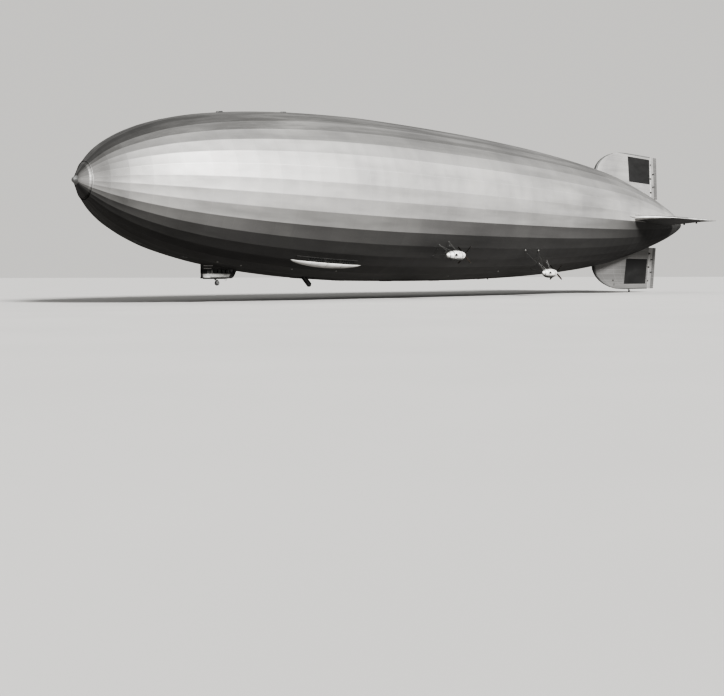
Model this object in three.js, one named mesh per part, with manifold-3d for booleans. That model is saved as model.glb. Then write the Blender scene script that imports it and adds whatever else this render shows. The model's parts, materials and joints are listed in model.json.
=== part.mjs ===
// A rigid passenger airship, modelled at a tenth of its real size.
// Millimetres. +X points to the bow, +Y to port, +Z up, and the origin is the centre of lift on the hull's axis.
// Tables give the real ship's sizes in metres: s is the station aft of the nose, r the distance from the axis.
import * as THREE from "three";
import { mergeVertices } from "three/addons/utils/BufferGeometryUtils.js";
import Module from "manifold-3d";

const wasm = await Module();
wasm.setup();
const { Manifold, Mesh: SolidMesh } = wasm;

const SCALE = 10;
const M = 1000 / SCALE; // one metre of the real ship, in this model's millimetres
const GAP = 0.3; // between pieces that touch

// Hull
const LENGTH = 245;
const LIFT_STATION = 109;
const FACETS = 36;
const WALL = 10;
const KEEL_HALF_ANGLE = 25; // the keel skin is a strip of its own along the belly
const CAP_FRONT = 0.8;
const CAP_BACK = 2.5;
const CONE_FRONT = 236;
const HULL = [
  // [s, r]
  [0.8, 1.0], [1.5, 2.3], [2.5, 3.9], [5, 6.7], [8, 9.0], [12, 11.2], [18, 13.6], [28.8, 16.3],
  [43.8, 18.5], [58.8, 19.8], [75.8, 20.5], [92.8, 20.6], [108.3, 20.5], [123.8, 20.15],
  [139.8, 19.55], [154.8, 18.65], [169.8, 17.45], [184.8, 15.75], [198.3, 13.4], [212, 10.5],
  [222, 8.1], [231.8, 5.45], [236, 4.1], [240, 2.75], [243, 1.5], [244.4, 0.7], [245, 0],
];

// Fins, rudders and elevators: one outline, turned to four places round the hull
const FIN = {
  leadRoot: 185.5, leadTop: 205, shoulder: 15.4, tip: 23.9, foot: 5,
  hinge: 221.5, thickRoot: 3.6, thickTip: 0.5, thickFrom: 8, tail: 0.62,
};
const BLADE = { foot: 8.9, trailFoot: 227.2, trailTip: 225.8, trailThick: 0.14, tipDrop: 0.1 };
const LUG = { height: 30, room: 60, pin: 6, bore: 8, pinLength: 104, thick: 16 };
const LUG_HEIGHTS = [11, 16, 21];
const QUARTERS = [
  // [place, turn about X, control surface]
  ["upper", 0, "rudder"], ["port", -90, "elevator"], ["lower", 180, "rudder"], ["starboard", 90, "elevator"],
];

// Engine cars: real metres from the middle of the car, +x forward
const CAR_SECTIONS = [
  // [x, half width, half height, rise of the middle]
  [3.0, 0.42, 0.5, -0.1], [2.4, 0.78, 0.92, -0.05], [1.4, 1.1, 1.3, 0], [0.2, 1.29, 1.52, 0],
  [-1.1, 1.28, 1.5, 0], [-2.1, 1.02, 1.2, 0], [-2.8, 0.62, 0.74, 0], [-3.0, 0.36, 0.42, 0],
];
const CAR_SIDES = 14;
const CARS = [
  // [name, s, y, z]
  ["fwd_port", 92, 20.35, -13.85], ["fwd_starboard", 92, -20.35, -13.85],
  ["aft_port", 141, 14.0, -18.15], ["aft_starboard", 141, -14.0, -18.15],
];
const PROPELLER = { span: 6.1, hub: 0.24, hubLong: 0.62, gap: 0.09, shaft: 9, bore: 11 };

// Control car
const CAR = { front: 29.7, back: 37.2, backTop: 40.0, top: 15.2, bottom: 19.7, half: 1.3, wall: 0.12, bilge: 0.55 };
const CAR_WINDOWS = { low: -18.5, high: -17.7, post: 0.12 };

// Landing wheels: a castor under the control car and a smaller one under the lower fin
const GEAR = [
  // [name, s of the leg, z of its top, z of its foot, wheel radius, wheel width, trail]
  ["front", 33.4, -19.7, -19.95, 0.58, 0.4, 0.4],
  ["tail", 209, -23.9, -24.1, 0.36, 0.26, 0.3],
];
const FORK = { clear: 0.2, plate: 8, bridge: 10, stem: 9, bore: 10.5, axle: 6, hubBore: 8 };

// Promenade windows and the fairing ledge below them, on both sides
const PROMENADE = { front: 47.5, back: 65.5, angle: 141.6, height: 1.3 };
const LEDGE = { front: 46.5, back: 67.5, topAngle: 145, lowAngle: 151, deep: 0.55 };

// Gangways, which fold up into wells in the belly
const GANGWAY = { hinge: 56.6, long: 3.3, side: 2.35, half: 0.5, open: 46, well: 0.75 };

const HATCH_HOODS = [35, 53, 75, 98, 121, 144, 167]; // s of the vent hoods on the ridge

const DOPED = [0xb9b7b0, 0.55, 0.25];
const METAL = [0x8d8f90, 0.4, 0.8];
const DARK = [0x2c2b2a, 0.6, 0.2];
const GLASS = [0x20262b, 0.1, 0.1];
const WOOD = [0x6b4426, 0.45, 0.0];
const RUBBER = [0x1b1b1b, 0.85, 0.0];

const airship = new THREE.Group();
airship.name = "airship";

const stationX = (s) => (LIFT_STATION - s) * M;
const point = (x, y, z) => new THREE.Vector3(x, y, z);
const atShip = (s, y, z) => point(stationX(s), y * M, z * M);
const degrees = THREE.MathUtils.degToRad;

// Turns a closed three.js geometry into a solid that faces outwards.
function solid(geometry) {
  const bare = geometry.clone();
  bare.deleteAttribute("normal");
  bare.deleteAttribute("uv");
  const merged = mergeVertices(bare, 1e-3);
  const vertProperties = Float32Array.from(merged.getAttribute("position").array);
  const corner = (i) => point().fromArray(vertProperties, 3 * i);
  const triangles = [];
  let volume = 0;
  for (let i = 0; i < merged.index.count; i += 3) {
    const [a, b, c] = [0, 1, 2].map((k) => merged.index.getX(i + k));
    if (a === b || b === c || c === a) continue;
    triangles.push([a, b, c]);
    volume += corner(a).dot(corner(b).cross(corner(c)));
  }
  const triVerts = Uint32Array.from(triangles.flatMap(([a, b, c]) => (volume > 0 ? [a, b, c] : [a, c, b])));
  return new Manifold(new SolidMesh({ numProp: 3, vertProperties, triVerts }));
}

const joined = (solids) => solids.reduce((all, next) => all.add(next));
const without = (body, cuts) => cuts.reduce((left, cut) => left.subtract(cut), body);

function turned(body, degreesAboutX) {
  return body.rotate([degreesAboutX, 0, 0]);
}

// Adds a solid to the ship as a named mesh.
function piece(name, body, [color, roughness, metalness], parent = airship) {
  const mesh = body.getMesh();
  const geometry = new THREE.BufferGeometry();
  geometry.setAttribute("position", new THREE.BufferAttribute(mesh.vertProperties, 3));
  geometry.setIndex(new THREE.BufferAttribute(mesh.triVerts, 1));
  geometry.computeVertexNormals();
  const made = new THREE.Mesh(geometry, new THREE.MeshStandardMaterial({ color, roughness, metalness }));
  made.name = name;
  parent.add(made);
  return made;
}

// A box between two corners.
function block(low, high) {
  const size = high.clone().sub(low);
  const middle = low.clone().add(high).multiplyScalar(0.5);
  return solid(new THREE.BoxGeometry(size.x, size.y, size.z).translate(middle.x, middle.y, middle.z));
}

// A straight round bar from one point to another, which may taper.
function rod(from, to, radius, sides = 8, endRadius = radius) {
  const along = to.clone().sub(from);
  const bar = new THREE.CylinderGeometry(endRadius, radius, along.length(), sides);
  const turn = new THREE.Quaternion().setFromUnitVectors(point(0, 1, 0), along.clone().normalize());
  const middle = from.clone().add(to).multiplyScalar(0.5);
  return solid(bar.applyQuaternion(turn).translate(middle.x, middle.y, middle.z));
}

// A round solid about a line along X; the profile is [x, radius] in millimetres.
function turnedAboutX(profile, sides, start = 0) {
  const outline = profile.map(([x, r]) => new THREE.Vector2(r, x));
  return solid(new THREE.LatheGeometry(outline, sides, start).rotateZ(-Math.PI / 2));
}

// A round solid about a line along Y.
function turnedAboutY(profile, sides) {
  return solid(new THREE.LatheGeometry(profile.map(([y, r]) => new THREE.Vector2(r, y)), sides));
}

// A solid through closed sections of equally many points.
function loft(sections) {
  const count = sections[0].length;
  const rows = sections.length - 1;
  const tube = new THREE.CylinderGeometry(1, 1, rows, count, rows);
  const place = tube.getAttribute("position");
  for (let i = 0; i < place.count; i++) {
    const at = point().fromBufferAttribute(place, i);
    const section = sections[Math.round(rows / 2 - at.y)];
    const step = Math.round((Math.atan2(at.x, at.z) / (2 * Math.PI)) * count);
    const onRim = Math.hypot(at.x, at.z) > 0.5;
    const centre = section.reduce((sum, p) => sum.add(p), point(0, 0, 0)).divideScalar(count);
    const to = onRim ? section[(step + count) % count] : centre;
    place.setXYZ(i, to.x, to.y, to.z);
  }
  return solid(tube);
}

// A flat outline made thick along X, Y or Z; it lies in Y-Z, X-Z or X-Y.
function plate(shape, from, to, across) {
  const body = new THREE.ExtrudeGeometry(shape, { depth: to - from, bevelEnabled: false, curveSegments: 5 });
  body.translate(0, 0, from);
  const [x, y, z] = [point(1, 0, 0), point(0, 1, 0), point(0, 0, 1)];
  const axes = { x: [y, z, x], y: [x, z, y], z: [x, y, z] }[across];
  return solid(body.applyMatrix4(new THREE.Matrix4().makeBasis(...axes)));
}

function outline(points) {
  return new THREE.Shape(points.map(([u, v]) => new THREE.Vector2(u, v)));
}

function hullRadius(s) {
  const next = HULL.findIndex(([station]) => station >= s);
  const [s0, r0] = HULL[Math.max(next - 1, 0)];
  const [s1, r1] = HULL[next];
  return s1 === s0 ? r1 : THREE.MathUtils.lerp(r0, r1, (s - s0) / (s1 - s0));
}

// The hull's outside between two stations, as [x, radius], pushed out by a clearance.
function hullProfile(from, to, clearance = 0) {
  const stations = [from, ...HULL.map(([s]) => s).filter((s) => s > from && s < to), to];
  return stations.map((s, i) => {
    const before = stations[Math.max(i - 1, 0)];
    const after = stations[Math.min(i + 1, stations.length - 1)];
    const slope = (hullRadius(after) - hullRadius(before)) / (after - before);
    const lean = Math.hypot(1, slope);
    return [stationX(s) + (clearance * slope) / lean, Math.max(hullRadius(s) * M + clearance / lean, 0)];
  });
}

const FACET_START = Math.PI / FACETS; // facets, not corners, face up, down and to the sides
const hullTurned = (profile) => turnedAboutX(profile, FACETS, FACET_START);
const hullOutside = hullTurned([
  [stationX(CAP_FRONT), 0], ...hullProfile(CAP_FRONT, 244.4, GAP), [stationX(244.4), 0],
]);

// A point on the hull's skin, at an angle from the top towards port, and so many real metres proud of it.
function onHull(s, angle, proud = 0) {
  const offFacet = degrees(angle - Math.round(angle / 10) * 10);
  const r = (hullRadius(s) * Math.cos(FACET_START)) / Math.cos(offFacet) + proud;
  return atShip(s, r * Math.sin(degrees(angle)), r * Math.cos(degrees(angle)));
}

// A block that stands on the skin at an angle: long in stations, wide round the hull, deep through the skin.
function skinBlock(s0, s1, angle, wide, deepIn, deepOut, shrink = 0) {
  const r = Math.max(hullRadius(s0), hullRadius(s1)) * M;
  const low = point(stationX(s1) + shrink, (-wide * M) / 2 + shrink, r - deepIn * M);
  const high = point(stationX(s0) - shrink, (wide * M) / 2 - shrink, r + deepOut * M);
  return turned(block(low, high), -angle);
}

// Envelope, nose cap, mooring spindle and tail cone
function envelopeShell() {
  const outside = hullProfile(CAP_BACK, CONE_FRONT);
  const inside = hullProfile(CAP_BACK, CONE_FRONT, -WALL).reverse();
  inside[0][0] = outside.at(-1)[0];
  inside.at(-1)[0] = outside[0][0];
  return hullTurned([...outside, ...inside, outside[0]]);
}

function ventHood(s) {
  const r = hullRadius(s) * M;
  const [x, half, high] = [stationX(s), 0.45 * M, 0.42 * M];
  const side = outline([[x + 0.9 * M, r - 60], [x + 0.5 * M, r + high], [x - 0.5 * M, r + high], [x - 1.3 * M, r - 60]]);
  return plate(side, -half, half, "y");
}

const wells = [];
const windows = [];
const shell = envelopeShell();
const hoods = joined(HATCH_HOODS.map(ventHood));
const shellInside = hullTurned([
  [stationX(30), 0], ...hullProfile(30, 215, -WALL / 2), [stationX(215), 0],
]);

// Promenade windows: a strip of the skin itself, with the fairing ledge under it.
const SIDES = [["port", 1], ["starboard", -1]];
for (const [side, sign] of SIDES) {
  const place = sign * PROMENADE.angle;
  const band = (shrink) => skinBlock(PROMENADE.front, PROMENADE.back, place, PROMENADE.height, 1.5, 0.5, shrink);
  windows.push(band(0));
  piece(side + "_promenade_windows", shell.intersect(band(GAP)), GLASS);

  // The ledge is a lens: its upper edge is straight and its lower edge bows.
  const sections = [0, 0.08, 0.3, 0.5, 0.75, 0.92, 1].map((part) => {
    const s = THREE.MathUtils.lerp(LEDGE.front, LEDGE.back, part);
    const swell = Math.max(Math.sqrt(Math.sin(Math.PI * part)), 0.12);
    const low = THREE.MathUtils.lerp(LEDGE.topAngle, LEDGE.lowAngle, swell);
    const at = (share, proud) => onHull(s, sign * THREE.MathUtils.lerp(LEDGE.topAngle, low, share), proud);
    const deep = LEDGE.deep * swell;
    return [at(0, -0.5), at(1, -0.5), at(1, 0.1 * deep), at(0.7, 0.75 * deep), at(0.3, deep), at(0, 0.8 * deep)];
  });
  piece(side + "_promenade_ledge", loft(sections).subtract(hullOutside), DOPED);
}

// Gangways: each hangs on a cross hinge at the belly and folds up into its own well.
const gangwayHinge = (sign) => {
  const belly = -hullRadius(GANGWAY.hinge) * Math.cos(FACET_START);
  return point(stationX(GANGWAY.hinge), sign * GANGWAY.side * M, belly * M + 28);
};

function gangway(sign, lowered) {
  const { long, half, open } = GANGWAY;
  const [reach, wide] = [long * M, half * M];
  const stringer = (y) => block(point(20, y - 5, -14), point(reach, y + 5, 24));
  const treads = [];
  const count = 11;
  for (let i = 1; i <= count; i++) {
    const x = (i / (count + 0.5)) * reach;
    treads.push(block(point(x - 9, -wide + 4, -2), point(x + 9, wide - 4, 3)));
  }
  const skin = block(point(20, -wide, -18), point(reach, wide, -12));
  const barrel = rod(point(0, -wide, 0), point(0, wide, 0), 12);
  const arm = (y) => block(point(0, y - 6, -8), point(40, y + 6, 8));
  const rail = (y) => [
    rod(point(40, y, 20), point(110, y, 62), 4, 6),
    rod(point(110, y, 62), point(reach - 30, y, 62), 4, 6),
    rod(point(reach - 30, y, 62), point(reach - 12, y, 18), 4, 6),
  ];
  const sides = [-wide + 6, wide - 6];
  const flight = joined([skin, barrel, ...treads, ...sides.flatMap((y) => [arm(y), ...rail(y)]), ...sides.map(stringer)]);
  const turn = lowered ? degrees(open) : 0;
  const made = piece((sign > 0 ? "port" : "starboard") + "_gangway", flight, METAL);
  made.position.copy(gangwayHinge(sign));
  made.rotation.set(0, -turn, Math.PI);
  return made;
}

for (const [side, sign] of SIDES) {
  const { long, half, well } = GANGWAY;
  const hinge = gangwayHinge(sign);
  const floor = hinge.z - 28;
  const opening = [
    point(hinge.x - long * M - 20, hinge.y - half * M - 14, floor - 300),
    point(hinge.x + 30, hinge.y + half * M + 14, floor + 200),
  ];
  wells.push(block(...opening));
  const low = point(opening[0].x + GAP, opening[0].y + GAP, floor - 200);
  const high = point(opening[1].x - GAP, opening[1].y - GAP, floor + well * M + 60);
  const inner = [point(low.x + 6, low.y + 6, floor - 300), point(high.x - 6, high.y - 6, high.z - 8)];
  const tub = block(low, high).subtract(block(...inner)).intersect(hullOutside);
  const pin = rod(point(hinge.x, low.y + 3, hinge.z), point(hinge.x, low.y + 12, hinge.z), 5, 8);
  const farPin = rod(point(hinge.x, high.y - 12, hinge.z), point(hinge.x, high.y - 3, hinge.z), 5, 8);
  piece(side + "_stairwell", joined([tub, pin, farPin]), METAL);
}
gangway(1, true);
gangway(-1, false);

// Envelope with its vent hoods, and the keel skin, cut for the windows and the wells.
function keelWedge(apex) {
  const deep = 3 * hullRadius(92.8) * M;
  const wide = (deep + apex) * Math.tan(degrees(KEEL_HALF_ANGLE));
  return plate(outline([[0, apex], [wide, -deep], [-wide, -deep]]), stationX(LENGTH), stationX(0), "x");
}
const ridge = hoods.subtract(shellInside);
const cutShell = without(shell.add(ridge), [...windows, ...wells]);
piece("envelope", cutShell.subtract(keelWedge(GAP / Math.sin(degrees(KEEL_HALF_ANGLE)))), DOPED);
piece("keel_skin", cutShell.intersect(keelWedge(0)), DOPED);

const spindleBore = 0.35 * M;
const capEnd = CAP_BACK - GAP / M;
piece("nose_cap", hullTurned([
  [stationX(CAP_FRONT), spindleBore], ...hullProfile(CAP_FRONT, capEnd), [stationX(capEnd), spindleBore],
  [stationX(CAP_FRONT), spindleBore],
]), METAL);
piece("mooring_spindle", turnedAboutX([
  [stationX(0), 0], [stationX(0), 0.42 * M], [stationX(0.15), 0.5 * M], [stationX(CAP_FRONT) + GAP, 0.95 * M],
  [stationX(CAP_FRONT) + GAP, spindleBore - GAP], [stationX(3.2), spindleBore - GAP], [stationX(3.2), 0],
], 24), METAL);
piece("tail_cone", hullTurned([
  [stationX(CONE_FRONT) - GAP, 0], [stationX(CONE_FRONT) - GAP, hullRadius(CONE_FRONT) * M],
  ...hullProfile(240, LENGTH),
]), METAL);

// Fins and their control surfaces
const finThickness = (z) => {
  const { thickFrom, thickRoot, thickTip, tip } = FIN;
  return THREE.MathUtils.mapLinear(z, thickFrom, tip, thickRoot, thickTip);
};
const hingeRadius = (z) => (FIN.tail * finThickness(z)) / 2;

function finSection(z, thin = 1) {
  const { leadRoot, leadTop, shoulder, tip, hinge, tail } = FIN;
  const up = THREE.MathUtils.clamp((z - shoulder) / (tip - shoulder), 0, 1);
  const lead = leadTop - (leadTop - leadRoot) * Math.sqrt(1 - up * up);
  const trail = hinge - hingeRadius(z) - 0.08;
  const half = (thin * finThickness(z)) / 2;
  const shape = [[0, 0], [0.05, 0.5], [0.2, 0.86], [0.45, 1], [1, tail]];
  const place = (part, side, sign) => atShip(THREE.MathUtils.lerp(lead, trail, part), sign * side * half, z);
  return [
    ...shape.map(([part, side]) => place(part, side, 1)),
    ...shape.slice(1).reverse().map(([part, side]) => place(part, side, -1)),
  ];
}

function bladeSection(z, rise = 0) {
  const { foot, trailFoot, trailTip, trailThick } = BLADE;
  const trail = THREE.MathUtils.mapLinear(z, foot, FIN.tip, trailFoot, trailTip);
  const r = hingeRadius(z) - rise;
  const nose = [-90, -60, -30, 0, 30, 60, 90].map((turn) => {
    const [ahead, side] = [Math.cos(degrees(turn)) * r, Math.sin(degrees(turn)) * r];
    return atShip(FIN.hinge - ahead, side, z);
  });
  return [...nose, atShip(trail, trailThick / 2, z), atShip(trail, -trailThick / 2, z)];
}

for (const [place, turn, surface] of QUARTERS) {
  const { tip, foot, shoulder, hinge } = FIN;
  const heights = [foot, shoulder, 18.6, 21.2, 22.7, 23.5];
  const finBody = loft([...heights.map((z) => finSection(z)), finSection(tip, 0.4)]);
  const bladeBody = loft([BLADE.foot, tip - BLADE.tipDrop].map((z) => bladeSection(z)));
  const lugs = LUG_HEIGHTS.map((z) => {
    const pivot = atShip(hinge, 0, z);
    const half = Math.min(LUG.thick, hingeRadius(z) * M * 0.8) / 2;
    const arm = block(
      point(pivot.x - LUG.pin - 4, -half, pivot.z - LUG.height / 2),
      point(pivot.x + hingeRadius(z) * M + 30, half, pivot.z + LUG.height / 2),
    );
    const up = point(0, 0, LUG.pinLength / 2);
    return arm.add(rod(pivot.clone().sub(up), pivot.clone().add(up), LUG.pin, 10));
  });
  const notches = LUG_HEIGHTS.map((z) => {
    const pivot = atShip(hinge, 0, z);
    const slot = block(
      point(pivot.x - 34, -2 * M, pivot.z - LUG.room / 2), point(pivot.x + 2 * M, 2 * M, pivot.z + LUG.room / 2),
    );
    const up = point(0, 0, LUG.pinLength / 2 + 4);
    return slot.add(rod(pivot.clone().sub(up), pivot.clone().add(up), LUG.bore, 10));
  });
  const fin = finBody.add(joined(lugs));
  piece(place + "_fin", turned(fin, turn).subtract(hullOutside), DOPED);
  piece(place + "_" + surface, turned(without(bladeBody, notches), turn), DOPED);
}

// Engine cars with their struts, radiators, engines and propellers
function carSection([x, half, high, rise], proud = 0) {
  const points = [];
  for (let i = 0; i < CAR_SIDES; i++) {
    const turn = (2 * Math.PI * i) / CAR_SIDES;
    points.push(point(x * M, Math.sin(turn) * (half * M + proud), Math.cos(turn) * (high * M + proud) + rise * M));
  }
  return points;
}
const carBody = (proud = 0) => loft(CAR_SECTIONS.map((row) => carSection(row, proud)));

function propeller() {
  const { span, hub, hubLong, bore } = PROPELLER;
  const blade = (turn) => {
    const rows = [
      // [distance from the axis, chord, thickness, pitch in degrees]
      [0.1, 0.3, 0.26, 60], [0.5, 0.3, 0.2, 55], [1.1, 0.46, 0.13, 42], [2.0, 0.44, 0.08, 28],
      [2.8, 0.34, 0.05, 21], [span / 2, 0.16, 0.03, 19],
    ];
    const sections = rows.map(([out, chord, thick, pitch]) => {
      const lean = degrees(pitch);
      return [0, 60, 120, 180, 240, 300].map((round) => {
        const along = (Math.cos(degrees(round)) * chord * M) / 2;
        const through = (Math.sin(degrees(round)) * thick * M) / 2;
        const forward = Math.sin(lean) * along + Math.cos(lean) * through;
        const sideways = Math.cos(lean) * along - Math.sin(lean) * through;
        return point(forward, sideways, out * M);
      });
    });
    return turned(loft(sections), turn);
  };
  const boss = turnedAboutX([
    [-(hubLong / 2 + 0.3) * M, 0], [-(hubLong / 2 + 0.2) * M, 0.12 * M], [(-hubLong / 2) * M, hub * M],
    [(hubLong / 2) * M, hub * M], [(hubLong / 2) * M, 0],
  ], 16);
  const shaftHole = rod(point(-0.1 * M, 0, 0), point(hubLong * M, 0, 0), bore, 12);
  return joined([boss, ...[45, 135, 225, 315].map(blade)]).subtract(shaftHole);
}

const carHollow = loft(
  CAR_SECTIONS.map(([x, half, high, rise]) => carSection([x * 0.985, half - 0.1, high - 0.1, rise])),
);
const radiatorX = 2.62 * M;
const mouth = rod(point(2.3 * M, 0, -0.08 * M), point(3.4 * M, 0, -0.08 * M), 0.34 * M, 14);
const porthole = rod(point(-0.1 * M, -2 * M, 0.15 * M), point(-0.1 * M, 2 * M, 0.15 * M), 0.27 * M, 12);

for (const [name, s, y, z] of CARS) {
  const side = Math.sign(y);
  const place = atShip(s, y, z);
  const local = (x, out, up) => point(x * M, side * out * M, up * M);
  const car = new THREE.Group();
  car.position.copy(place);
  airship.add(car);

  const back = CAR_SECTIONS.at(-1)[0] * M;
  const { hubLong, gap, shaft } = PROPELLER;
  const hubMiddle = back - (gap + hubLong / 2) * M;
  const shaftBody = rod(point(back + 40, 0, 0), point(hubMiddle, 0, 0), shaft, 10);
  piece("engine_car_" + name, without(carBody(), [carHollow, mouth, porthole]).add(shaftBody), METAL, car);

  const slats = [-0.24, -0.12, 0, 0.12, 0.24].map((up) => {
    const reach = Math.sqrt(0.33 * 0.33 - up * up) * M - 4;
    const zMiddle = (up - 0.08) * M;
    return block(point(radiatorX - 12, -reach, zMiddle - 3), point(radiatorX + 12, reach, zMiddle + 3));
  });
  const rimProfile = [[-14, 0.33], [14, 0.33], [14, 0.25], [-14, 0.25], [-14, 0.33]];
  const rim = turnedAboutX(rimProfile.map(([x, r]) => [x + radiatorX, r * M - GAP]), 14);
  const upright = block(point(radiatorX - 10, -4, -0.38 * M), point(radiatorX + 10, 4, 0.22 * M));
  const radiator = joined([rim.translate([0, 0, -0.08 * M]), upright, ...slats]);
  piece("radiator_" + name, radiator, DARK, car);
  piece("engine_" + name, block(point(-1.5 * M, -0.4 * M, -0.7 * M), point(1.3 * M, 0.4 * M, 0.5 * M)), METAL, car);
  const made = piece("propeller_" + name, propeller(), WOOD, car);
  made.position.x = hubMiddle;

  // Struts, in the ship's own frame, because the hull trims their ends.
  const bands = [1.3, -1.3].map((x) => {
    const slab = block(point((x - 0.08) * M, -2 * M, -2 * M), point((x + 0.08) * M, 2 * M, 2 * M));
    return carBody(6).intersect(slab).subtract(carBody(GAP));
  });
  const angle = THREE.MathUtils.radToDeg(Math.atan2(Math.abs(y), z));
  const foot = (x, round) => onHull(s - x, side * (angle + round)).sub(place);
  const upper = foot(0, -5.5);
  const lower = foot(0, 4.5);
  const pad = (at) => rod(at, at.clone().addScaledVector(at.clone().add(place).setX(0).normalize(), 22), 22, 8);
  const struts = [
    [local(1.3, 0.1, 1.38), upper], [local(-1.3, 0.1, 1.38), upper], [local(1.3, -1.15, 0.3), lower],
    [local(-1.3, -1.15, 0.3), lower], [local(1.3, 0.1, 1.38), foot(4.2, -5)], [local(1.3, -1.15, 0.3), foot(4.2, 3)],
    [local(-1.3, 0.1, 1.38), foot(-2.6, -5.5)],
  ].map(([from, to]) => rod(from, to.clone().sub(from).multiplyScalar(1.02).add(from), 8, 6));
  const frame = joined([...bands, ...struts, pad(upper), pad(lower)]).subtract(carBody(GAP));
  const moved = frame.translate([place.x, place.y, place.z]).subtract(hullOutside);
  piece("engine_struts_" + name, moved, METAL);
}

// Control car
function controlCarBody(inset) {
  const { front, back, backTop, top, bottom, half, bilge } = CAR;
  const side = new THREE.Shape();
  const [x0, x1, x2] = [stationX(front + inset), stationX(back - inset), stationX(backTop - inset)];
  const [low, high, round] = [(-bottom + inset) * M, -top * M, bilge * M];
  side.moveTo(x0, high);
  side.lineTo(x0, low + round);
  side.absarc(x0 - round, low + round, round, 0, -Math.PI / 2, true);
  side.lineTo(x1 + round, low);
  side.lineTo(x1 - 0.12 * M, low + 0.3 * M);
  side.lineTo(x2, high);
  const plan = new THREE.Shape();
  const wide = (half - inset) * M;
  const bow = 1.5 * M;
  plan.moveTo(x0 - bow, wide);
  plan.absellipse(x0 - bow, 0, bow, wide, Math.PI / 2, -Math.PI / 2, true);
  plan.lineTo(x2 + 2.4 * M, -wide);
  plan.lineTo(x2, -wide * 0.55);
  plan.lineTo(x2, wide * 0.55);
  plan.lineTo(x2 + 2.4 * M, wide);
  return plate(side, -2 * M, 2 * M, "y").intersect(plate(plan, low - M, high + M, "z"));
}

const carWindows = [];
const { low: sill, high: lintel, post } = CAR_WINDOWS;
const paneStations = [31.3, 32.35, 33.4, 34.45, 35.5, 36.55];
for (const s of paneStations) {
  carWindows.push(block(atShip(s + 1.05 - post, -2, sill), atShip(s, 2, lintel)));
}
for (const across of [-0.78, 0, 0.78]) {
  carWindows.push(block(atShip(30.6, across - 0.33, sill), atShip(29, across + 0.33, lintel)));
}
const controlWall = controlCarBody(0).subtract(controlCarBody(CAR.wall)).subtract(hullOutside);
piece("control_car", without(controlWall, carWindows), DOPED);
const glassInset = CAR.wall + GAP / M;
const glassBand = block(atShip(42, -2, sill - 0.12), atShip(29, 2, lintel + 0.1));
const glassWall = controlCarBody(glassInset).subtract(controlCarBody(glassInset + 0.04));
const glazing = glassWall.intersect(glassBand).subtract(hullOutside);
piece("control_car_glazing", glazing, GLASS);

const floorZ = -CAR.bottom + CAR.wall;
const helmPost = rod(atShip(31.4, 0, floorZ + 0.004), atShip(31.4, 0, floorZ + 0.95), 8, 8);
const helmWheel = new THREE.TorusGeometry(0.36 * M, 4, 6, 16).rotateY(Math.PI / 2);
const wheelAt = atShip(31.4, 0, floorZ + 1.05);
const helmRim = solid(helmWheel.translate(wheelAt.x, 0, wheelAt.z));
const spokes = [0, 60, 120].map((turn) => {
  const arm = point(0, Math.sin(degrees(turn)), Math.cos(degrees(turn))).multiplyScalar(0.36 * M);
  return rod(wheelAt.clone().sub(arm), wheelAt.clone().add(arm), 3, 6);
});
piece("helm_stand", joined([helmPost, helmRim, ...spokes]), METAL);
const tableTop = block(atShip(35.4, -1.0, floorZ + 0.8), atShip(33.8, -0.2, floorZ + 0.86));
const tableLegs = [[33.95, -0.9], [33.95, -0.3], [35.25, -0.9], [35.25, -0.3]].map(([s, y]) => {
  return rod(atShip(s, y, floorZ + 0.004), atShip(s, y, floorZ + 0.82), 4, 6);
});
piece("chart_table", joined([tableTop, ...tableLegs]), WOOD);

// Landing wheels: a fixed leg, a castor fork that swivels on it, and a wheel that rolls in the fork.
for (const [name, s, top, foot, radius, width, trail] of GEAR) {
  const { clear, plate: cheekThick, bridge: bridgeThick, stem, bore, axle: axleRadius, hubBore } = FORK;
  const base = atShip(s, 0, foot);
  const below = (mm) => base.clone().add(point(0, 0, -mm));
  const head = atShip(s, 0, top).add(point(0, 0, -GAP));
  const flange = rod(head.clone().add(point(0, 0, -8)), head, 36, 14);
  const leg = joined([flange, rod(below(0), head, 20, 12, 24), rod(below(bridgeThick + 8), below(-4), stem, 10)]);
  piece(name + "_wheel_leg", leg, METAL);

  const axle = base.clone().add(point(-trail * M, 0, -(radius + clear) * M));
  const inner = (width / 2) * M + 8;
  const outer = inner + cheekThick;
  const bridge = block(
    point(axle.x - 14, -outer, base.z - 4 - bridgeThick), point(base.x + 16, outer, base.z - 4),
  ).subtract(rod(below(40), below(-10), bore, 12));
  const cheeks = [-1, 1].map((side) => {
    const edges = [side * inner, side * outer];
    const low = point(axle.x - 14, Math.min(...edges), axle.z - 14);
    return block(low, point(axle.x + 14, Math.max(...edges), base.z - 4));
  });
  const axleEnd = (side) => axle.clone().add(point(0, side * (outer - 2), 0));
  piece(name + "_wheel_fork", joined([bridge, ...cheeks, rod(axleEnd(-1), axleEnd(1), axleRadius, 10)]), METAL);

  const wheel = new THREE.Group();
  wheel.position.copy(axle);
  airship.add(wheel);
  const [w, r, rim] = [(width / 2) * M, radius * M, radius * M * 0.5];
  const hubProfile = [
    [-w, hubBore], [-w, 16], [-w * 0.5, 16], [-w * 0.5, rim], [w * 0.5, rim], [w * 0.5, 16], [w, 16],
    [w, hubBore], [-w, hubBore],
  ];
  piece(name + "_wheel_hub", turnedAboutY(hubProfile, 24), METAL, wheel);
  const bead = rim + GAP;
  const tyreProfile = [
    [-w * 0.6, bead], [-w, bead + 6], [-w, r - 12], [-w * 0.55, r], [w * 0.55, r], [w, r - 12], [w, bead + 6],
    [w * 0.6, bead], [-w * 0.6, bead],
  ];
  piece(name + "_tyre", turnedAboutY(tyreProfile, 24), RUBBER, wheel);
}

export default airship;
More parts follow.
